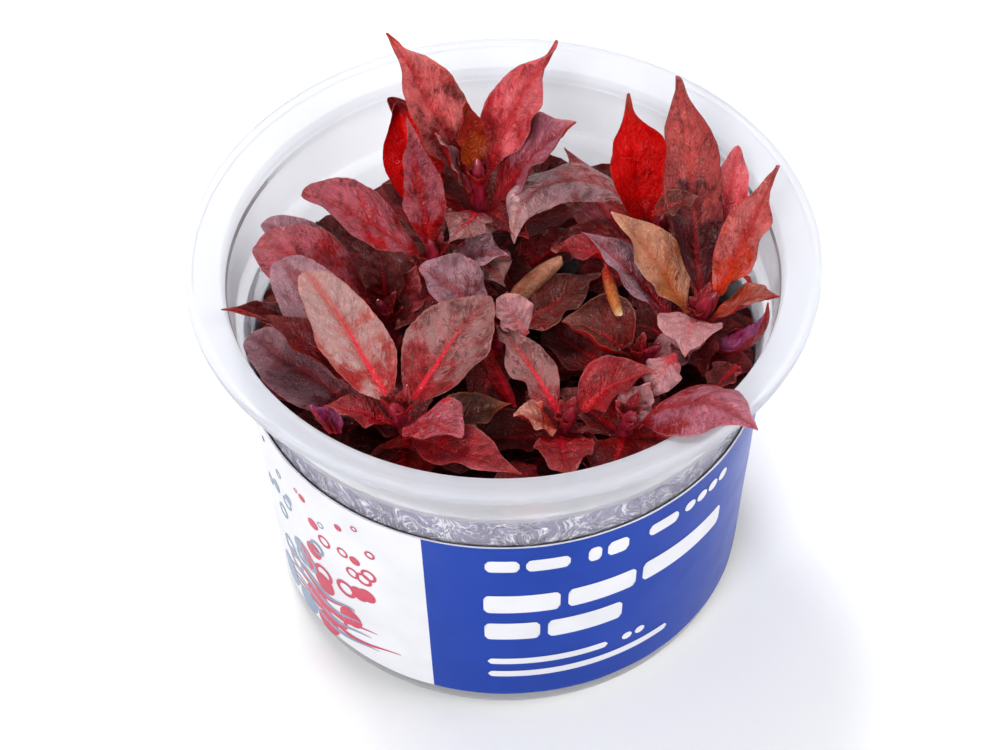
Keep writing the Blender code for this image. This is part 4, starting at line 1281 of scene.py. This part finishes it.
# Each row: where it starts, then the leaf as in the table above
SPRIGS = (
    Sprig((27.2, -2.6, 53.0), Leaf("right", 0, 148, 52, 20, 12, 22, 8, 15, Leafage.MAUVE, ruffle=0.5)),
    Sprig((16.3, 1.4, 63.0), Leaf("inner_right", 0, 288, -41, 11, 9, 8.6, 4.4, -86, Leafage.STUB, ruffle=0.02,
                                  peak=0.5, base=0.35, end=0.15, drip=0.0, hook=0.0, under=Leafage.SHADOW)),
    Sprig((20.5, 11.0, 57.5), Leaf("inner_right", 0, 172, 10, 35, 10, 13, 7, 25, Leafage.EMBER, ruffle=1.1,
                                   waves=2.5, end=0.6)),
    Sprig((3.5, -7.9, 57.0), Leaf("middle", 0, 140, 50, 17, 0, 7.6, 6.5, 10, Leafage.PALE, ruffle=0.4, end=0.5,
                                  drip=0.0)),
    Sprig((26.4, -15.3, 60.0), Leaf("inner_right", 0, 240, 15, 58, -3, 9, 6, -15, Leafage.PALE, ruffle=0.6,
                                    end=0.6, drip=0.2)),
    Sprig((-13.6, 19.5, 57.0), Leaf("back_left", 0, 104, 65, 8, 7, 19.2, 11.5, 30, Leafage.CHERRY, ruffle=0.05,
                                    hook=0.0, peak=0.5, base=0.9, end=0.6, drip=0.2)),
    Sprig((-28.5, -17.5, 46.0), Leaf("front_left", 0, 150, 62, -55, 20, 9, 4, 50, Leafage.MAGENTA, ruffle=0.5)),
    Sprig((-31.0, -15.0, 45.5), Leaf("front_left", 0, 40, 50, 60, -20, 7, 4, 30, Leafage.MAGENTA, ruffle=0.5)),
    Sprig((39.0, -2.0, 57.0), Leaf("right", 0, 60, 75, -40, -90, 6, 1.4, 30, Leafage.WINE, ruffle=0.1, hook=-120.0,
                                   end=0.5)),
    Sprig((24.0, 9.3, 66.0), Leaf("right", 0, 3, 35, 27, 9, 8.2, 5, 20, Leafage.BROWN, ruffle=0.5)),
    Sprig((-19.5, -21.5, 59.0), Leaf("front_left", 0, 150, 31, 24, 0, 22.5, 6.5, 20, Leafage.EMBER, ruffle=0.5,
                                     peak=0.5, base=0.8, end=0.7, drip=0.3)),
    Sprig((-26.8, -27.2, 57.0), Leaf("front_left", 0, 143, 49, 19, 0, 5.6, 4, 55, Leafage.MAGENTA, ruffle=0.4)),
    Sprig((-25.9, -27.4, 57.0), Leaf("front_left", 0, 105, 51, 40, 30, 5, 3.4, 55, Leafage.MAGENTA, ruffle=0.4)),
    Sprig((19.1, 4.6, 60.0), Leaf("back_right", 0, 169, 21, 34, -6, 12, 5.5, 30, Leafage.WINE, ruffle=1.3, waves=2.5)),
    Sprig((26.9, 6.3, 58.0), Leaf("back_right", 0, 120, 36, 49, 0, 9.5, 3.5, 20, Leafage.SCARLET, ruffle=0.2)),
    Sprig((36.3, -15.5, 57.0), Leaf("right", 0, 236, 22, 28, -5, 9.8, 5, 35, Leafage.DARK, ruffle=0.8)),
    Sprig((1.5, -16.9, 50.0), Leaf("middle", 0, 127, 47, 5, 3, 11, 6, -86, Leafage.UNDER, ruffle=0.05, peak=0.4,
                                   base=0.35, end=0.3, drip=0.0, hook=0.0, under=Leafage.SHADOW)),
    Sprig((24.0, 12.0, 50.0), Leaf("back_right", 0, 200, 20, 40, 10, 15, 9, 20, Leafage.EMBER, ruffle=1.0)),
    Sprig((0.0, 12.0, 48.0), Leaf("back", 0, 20, 35, 45, 10, 18, 9, 20, Leafage.EMBER, ruffle=0.8)),
    Sprig((-6.0, 14.0, 52.0), Leaf("back", 0, 300, 50, 60, 0, 14, 9, -10, Leafage.SMOKE, ruffle=0.8)),
)


@dataclass
class Foliage:
    """All the leaves: the placed ones, the young ones at the crowns and the lower ones in the cup."""

    stems: dict[str, Stem]
    leaves: tuple[Leaf, ...]
    rows: int = 64
    columns: int = 29

    def placed(self) -> None:
        """Grow each placed leaf as its own piece, in place of its solid."""
        number = {name: 0 for name in self.stems}
        for index, leaf in enumerate(self.leaves):
            number[leaf.stem] += 1
            draft = Draft()
            stem = self.stems[leaf.stem]
            leaf.grow(draft, stem.root(leaf.height, leaf.azimuth), 100 + index, self.rows, self.columns)
            node = f"leaf_{leaf.stem}_{number[leaf.stem]}"
            materials = [leaf.look.material(), leaf.under.material()]
            draft.build(f"blade_{leaf.stem}_{number[leaf.stem]}", materials, leaf.look.value.slot, (node,))

    def young(self, stem: Stem, seed: int) -> None:
        """Grow the small upright leaves round a stem's bud."""
        chance = np.random.default_rng(seed)
        draft = Draft()
        for number in range(5):
            azimuth = number * 137.5 + chance.uniform(-20.0, 20.0)
            length = chance.uniform(3.5, 5.8)
            leaf = Leaf(stem.name, stem.crown[2] - 0.5, azimuth, chance.uniform(52.0, 76.0), 15.0, 0.0, length,
                        length * 0.42, 30.0, Leafage.WINE, ruffle=0.15)
            leaf.grow(draft, stem.point(leaf.height) + 0.0, seed + number, 20, 9, (number % 2, 2))
        materials = [Leafage.EMBER.material(), Leafage.WINE.material(), Leafage.UNDER.material()]
        draft.build(f"young_leaves_{stem.name}", materials, "leaf_red")

    def nearest(self, reach: np.ndarray) -> Stem:
        """The stem whose crown is nearest to a place, seen from above."""
        return min(self.stems.values(), key=lambda stem: math.dist(stem.crown[:2], reach))

    def lower(self, stem: Stem, seed: int) -> None:
        """Grow the leaves low on a stem, inside the cup, in near-black and deep crimson looks that are painted shade
        for the depth of the tuft.
        """
        chance = np.random.default_rng(seed)
        draft = Draft()
        top = stem.crown[2] - 6.0
        for number in range(24):
            height = 19.0 + (top - 19.0) * number / 23 + chance.uniform(-1.5, 1.5)
            azimuth = number * 137.5 + chance.uniform(-30.0, 30.0)
            length = chance.uniform(11.0, 19.0)
            leaf = Leaf(stem.name, height, azimuth, chance.uniform(5.0, 45.0), chance.uniform(10.0, 50.0),
                        chance.uniform(-30.0, 30.0), length, length * chance.uniform(0.42, 0.6), 20.0,
                        Leafage.SHADOW, ruffle=0.5)
            leaf.grow(draft, stem.point(height) + 0.0, seed + number, 22, 11, ((0, 1, 4, 1)[number % 4], 3))
        for number in range(WALL_LEAVES):
            azimuth = math.radians(360.0 * number / WALL_LEAVES)
            high = number % 3 != 2
            reach = np.array([math.cos(azimuth), math.sin(azimuth)]) * 40.6
            if self.nearest(reach) is not stem:
                continue
            target = np.array([*reach, chance.uniform(46.5, 51.0) if high else chance.uniform(37.0, 43.0)])
            start = stem.point(chance.uniform(37.0, 43.0) if high else chance.uniform(26.0, 32.0))
            chord = target - start
            flat = math.hypot(chord[0], chord[1])
            arch = chance.uniform(5.0, 40.0)
            climb = math.degrees(math.atan2(chord[2], flat)) + arch / 2
            length = float(np.linalg.norm(chord)) * (1.0 + math.radians(arch) ** 2 / 24)
            leaf = Leaf(stem.name, float(start[2]), math.degrees(math.atan2(chord[1], chord[0])), climb, arch, 0.0,
                        length, max(8.5, length * chance.uniform(0.42, 0.55)), 12.0, Leafage.SHADOW, hook=5.0,
                        ruffle=0.6, drip=0.0, peak=0.6, end=0.6)
            leaf.grow(draft, start, seed + 300 + number, 24, 13, ((1, 0, 4, 1, 2)[number % 5], 3))
        looks = (Leafage.SHADOW, Leafage.EMBER, Leafage.WINE, Leafage.UNDER, Leafage.DARK)
        draft.build(f"lower_leaves_{stem.name}", [look.material() for look in looks], "leaf_dark")

    def sprigs(self, stem: Stem) -> None:
        """Grow a stem's own sprigs as one piece."""
        own = [sprig for sprig in SPRIGS if sprig.leaf.stem == stem.name]
        if not own:
            return
        draft = Draft()
        looks = list(dict.fromkeys(look for sprig in own for look in (sprig.leaf.look, sprig.leaf.under)))
        for number, sprig in enumerate(own):
            slots = (looks.index(sprig.leaf.look), looks.index(sprig.leaf.under))
            sprig.leaf.grow(draft, np.array(sprig.at), 900 + number, 48, 21, slots)
        draft.build(f"sprigs_{stem.name}", [look.material() for look in looks], "leaf_red")

    def build(self) -> None:
        """Grow everything."""
        self.placed()
        for index, stem in enumerate(self.stems.values()):
            self.young(stem, 1000 + 20 * index)
            self.sprigs(stem)
            self.lower(stem, 5000 + 40 * index)


@dataclass
class Studio:
    """Pale floor, soft lights and the camera at the photograph's viewing angle."""

    camera_place: tuple[float, float, float] = (-1.828, -331.06, 413.93)
    pitch: float = 0.848
    yaw: float = -0.005
    roll: float = -0.019
    focal: float = 109.79
    sensor: float = 36.0
    shift: float = -0.004
    floor_size: float = 6.0
    world_strength: float = 0.4

    def camera(self) -> None:
        """Put the camera where the photograph was taken from."""
        cos_p, sin_p = math.cos(self.pitch), math.sin(self.pitch)
        cos_y, sin_y = math.cos(self.yaw), math.sin(self.yaw)
        forward = Vector((-sin_y * cos_p, cos_y * cos_p, -sin_p))
        right = Vector((cos_y, sin_y, 0.0))
        up = Vector((-sin_y * sin_p, cos_y * sin_p, cos_p))
        axis_x = right * math.cos(self.roll) + up * math.sin(self.roll)
        axis_y = up * math.cos(self.roll) - right * math.sin(self.roll)
        turn = Matrix((axis_x, axis_y, -forward)).transposed().to_4x4()
        data = bpy.data.cameras.new("camera")
        data.lens = self.focal
        data.sensor_width = self.sensor
        data.shift_x = self.shift
        data.clip_start = 0.01
        data.clip_end = 50.0
        camera = bpy.data.objects.new("camera", data)
        camera.matrix_world = Matrix.Translation(Vector(self.camera_place) * MM) @ turn
        bpy.context.scene.collection.objects.link(camera)
        bpy.context.scene.camera = camera

    def sun(self, name: str, toward: tuple[float, float, float], strength: float, spread: float) -> None:
        """Add a soft distant light.

        Args:
            name: Its name.
            toward: Direction from the cup to it.
            strength: Light on a surface that faces it, in watts a square metre.
            spread: Angle that it fills, which softens its shadows.
        """
        data = bpy.data.lights.new(name, "SUN")
        data.energy = strength
        data.angle = math.radians(spread)
        lamp = bpy.data.objects.new(name, data)
        lamp.rotation_euler = (-Vector(toward)).to_track_quat("-Z", "Y").to_euler()
        bpy.context.scene.collection.objects.link(lamp)

    def build(self) -> None:
        """Set up the whole studio."""
        draft = Draft()
        half = self.floor_size / MM / 2
        corners = np.array([[-half, -half, 0.0], [half, -half, 0.0], [half, half, 0.0], [-half, half, 0.0]])
        draft.add(corners, np.zeros((4, 2)), np.zeros((4, 2)))
        draft.cover(np.array([[0, 1, 2, 3]]))
        mesh = bpy.data.meshes.new("floor")
        mesh.from_pydata((corners * MM).tolist(), [], [(0, 1, 2, 3)])
        mesh.materials.append(FloorFinish().make())
        floor = bpy.data.objects.new("floor", mesh)
        bpy.context.scene.collection.objects.link(floor)
        world = bpy.data.worlds.new("studio")
        world.use_nodes = True
        sky = world.node_tree.nodes["Background"]
        sky.inputs["Color"].default_value = (0.98, 0.985, 1.0, 1.0)
        sky.inputs["Strength"].default_value = self.world_strength
        bpy.context.scene.world = world
        self.sun("high_sun", (-0.25, 0.55, 1.0), 2.05, 20.0)
        self.sun("front_sun", (-0.45, -0.9, 0.75), 1.9, 28.0)
        self.sun("side_sun", (1.0, -0.15, 0.7), 1.4, 40.0)
        bpy.context.scene.view_settings.view_transform = "Standard"
        self.camera()


def main() -> None:
    """Build every sub-assembly in order."""
    logging.basicConfig(level=logging.INFO, format="%(message)s")
    CUP.build()
    Gel(CUP).build()
    Label(CUP).build()
    crimson = StemFinish().make()
    for stem in STEMS:
        stem.build(crimson)
    Foliage({stem.name: stem for stem in STEMS}, LEAVES).build()
    Studio().build()


if __name__ == "__main__":
    main()
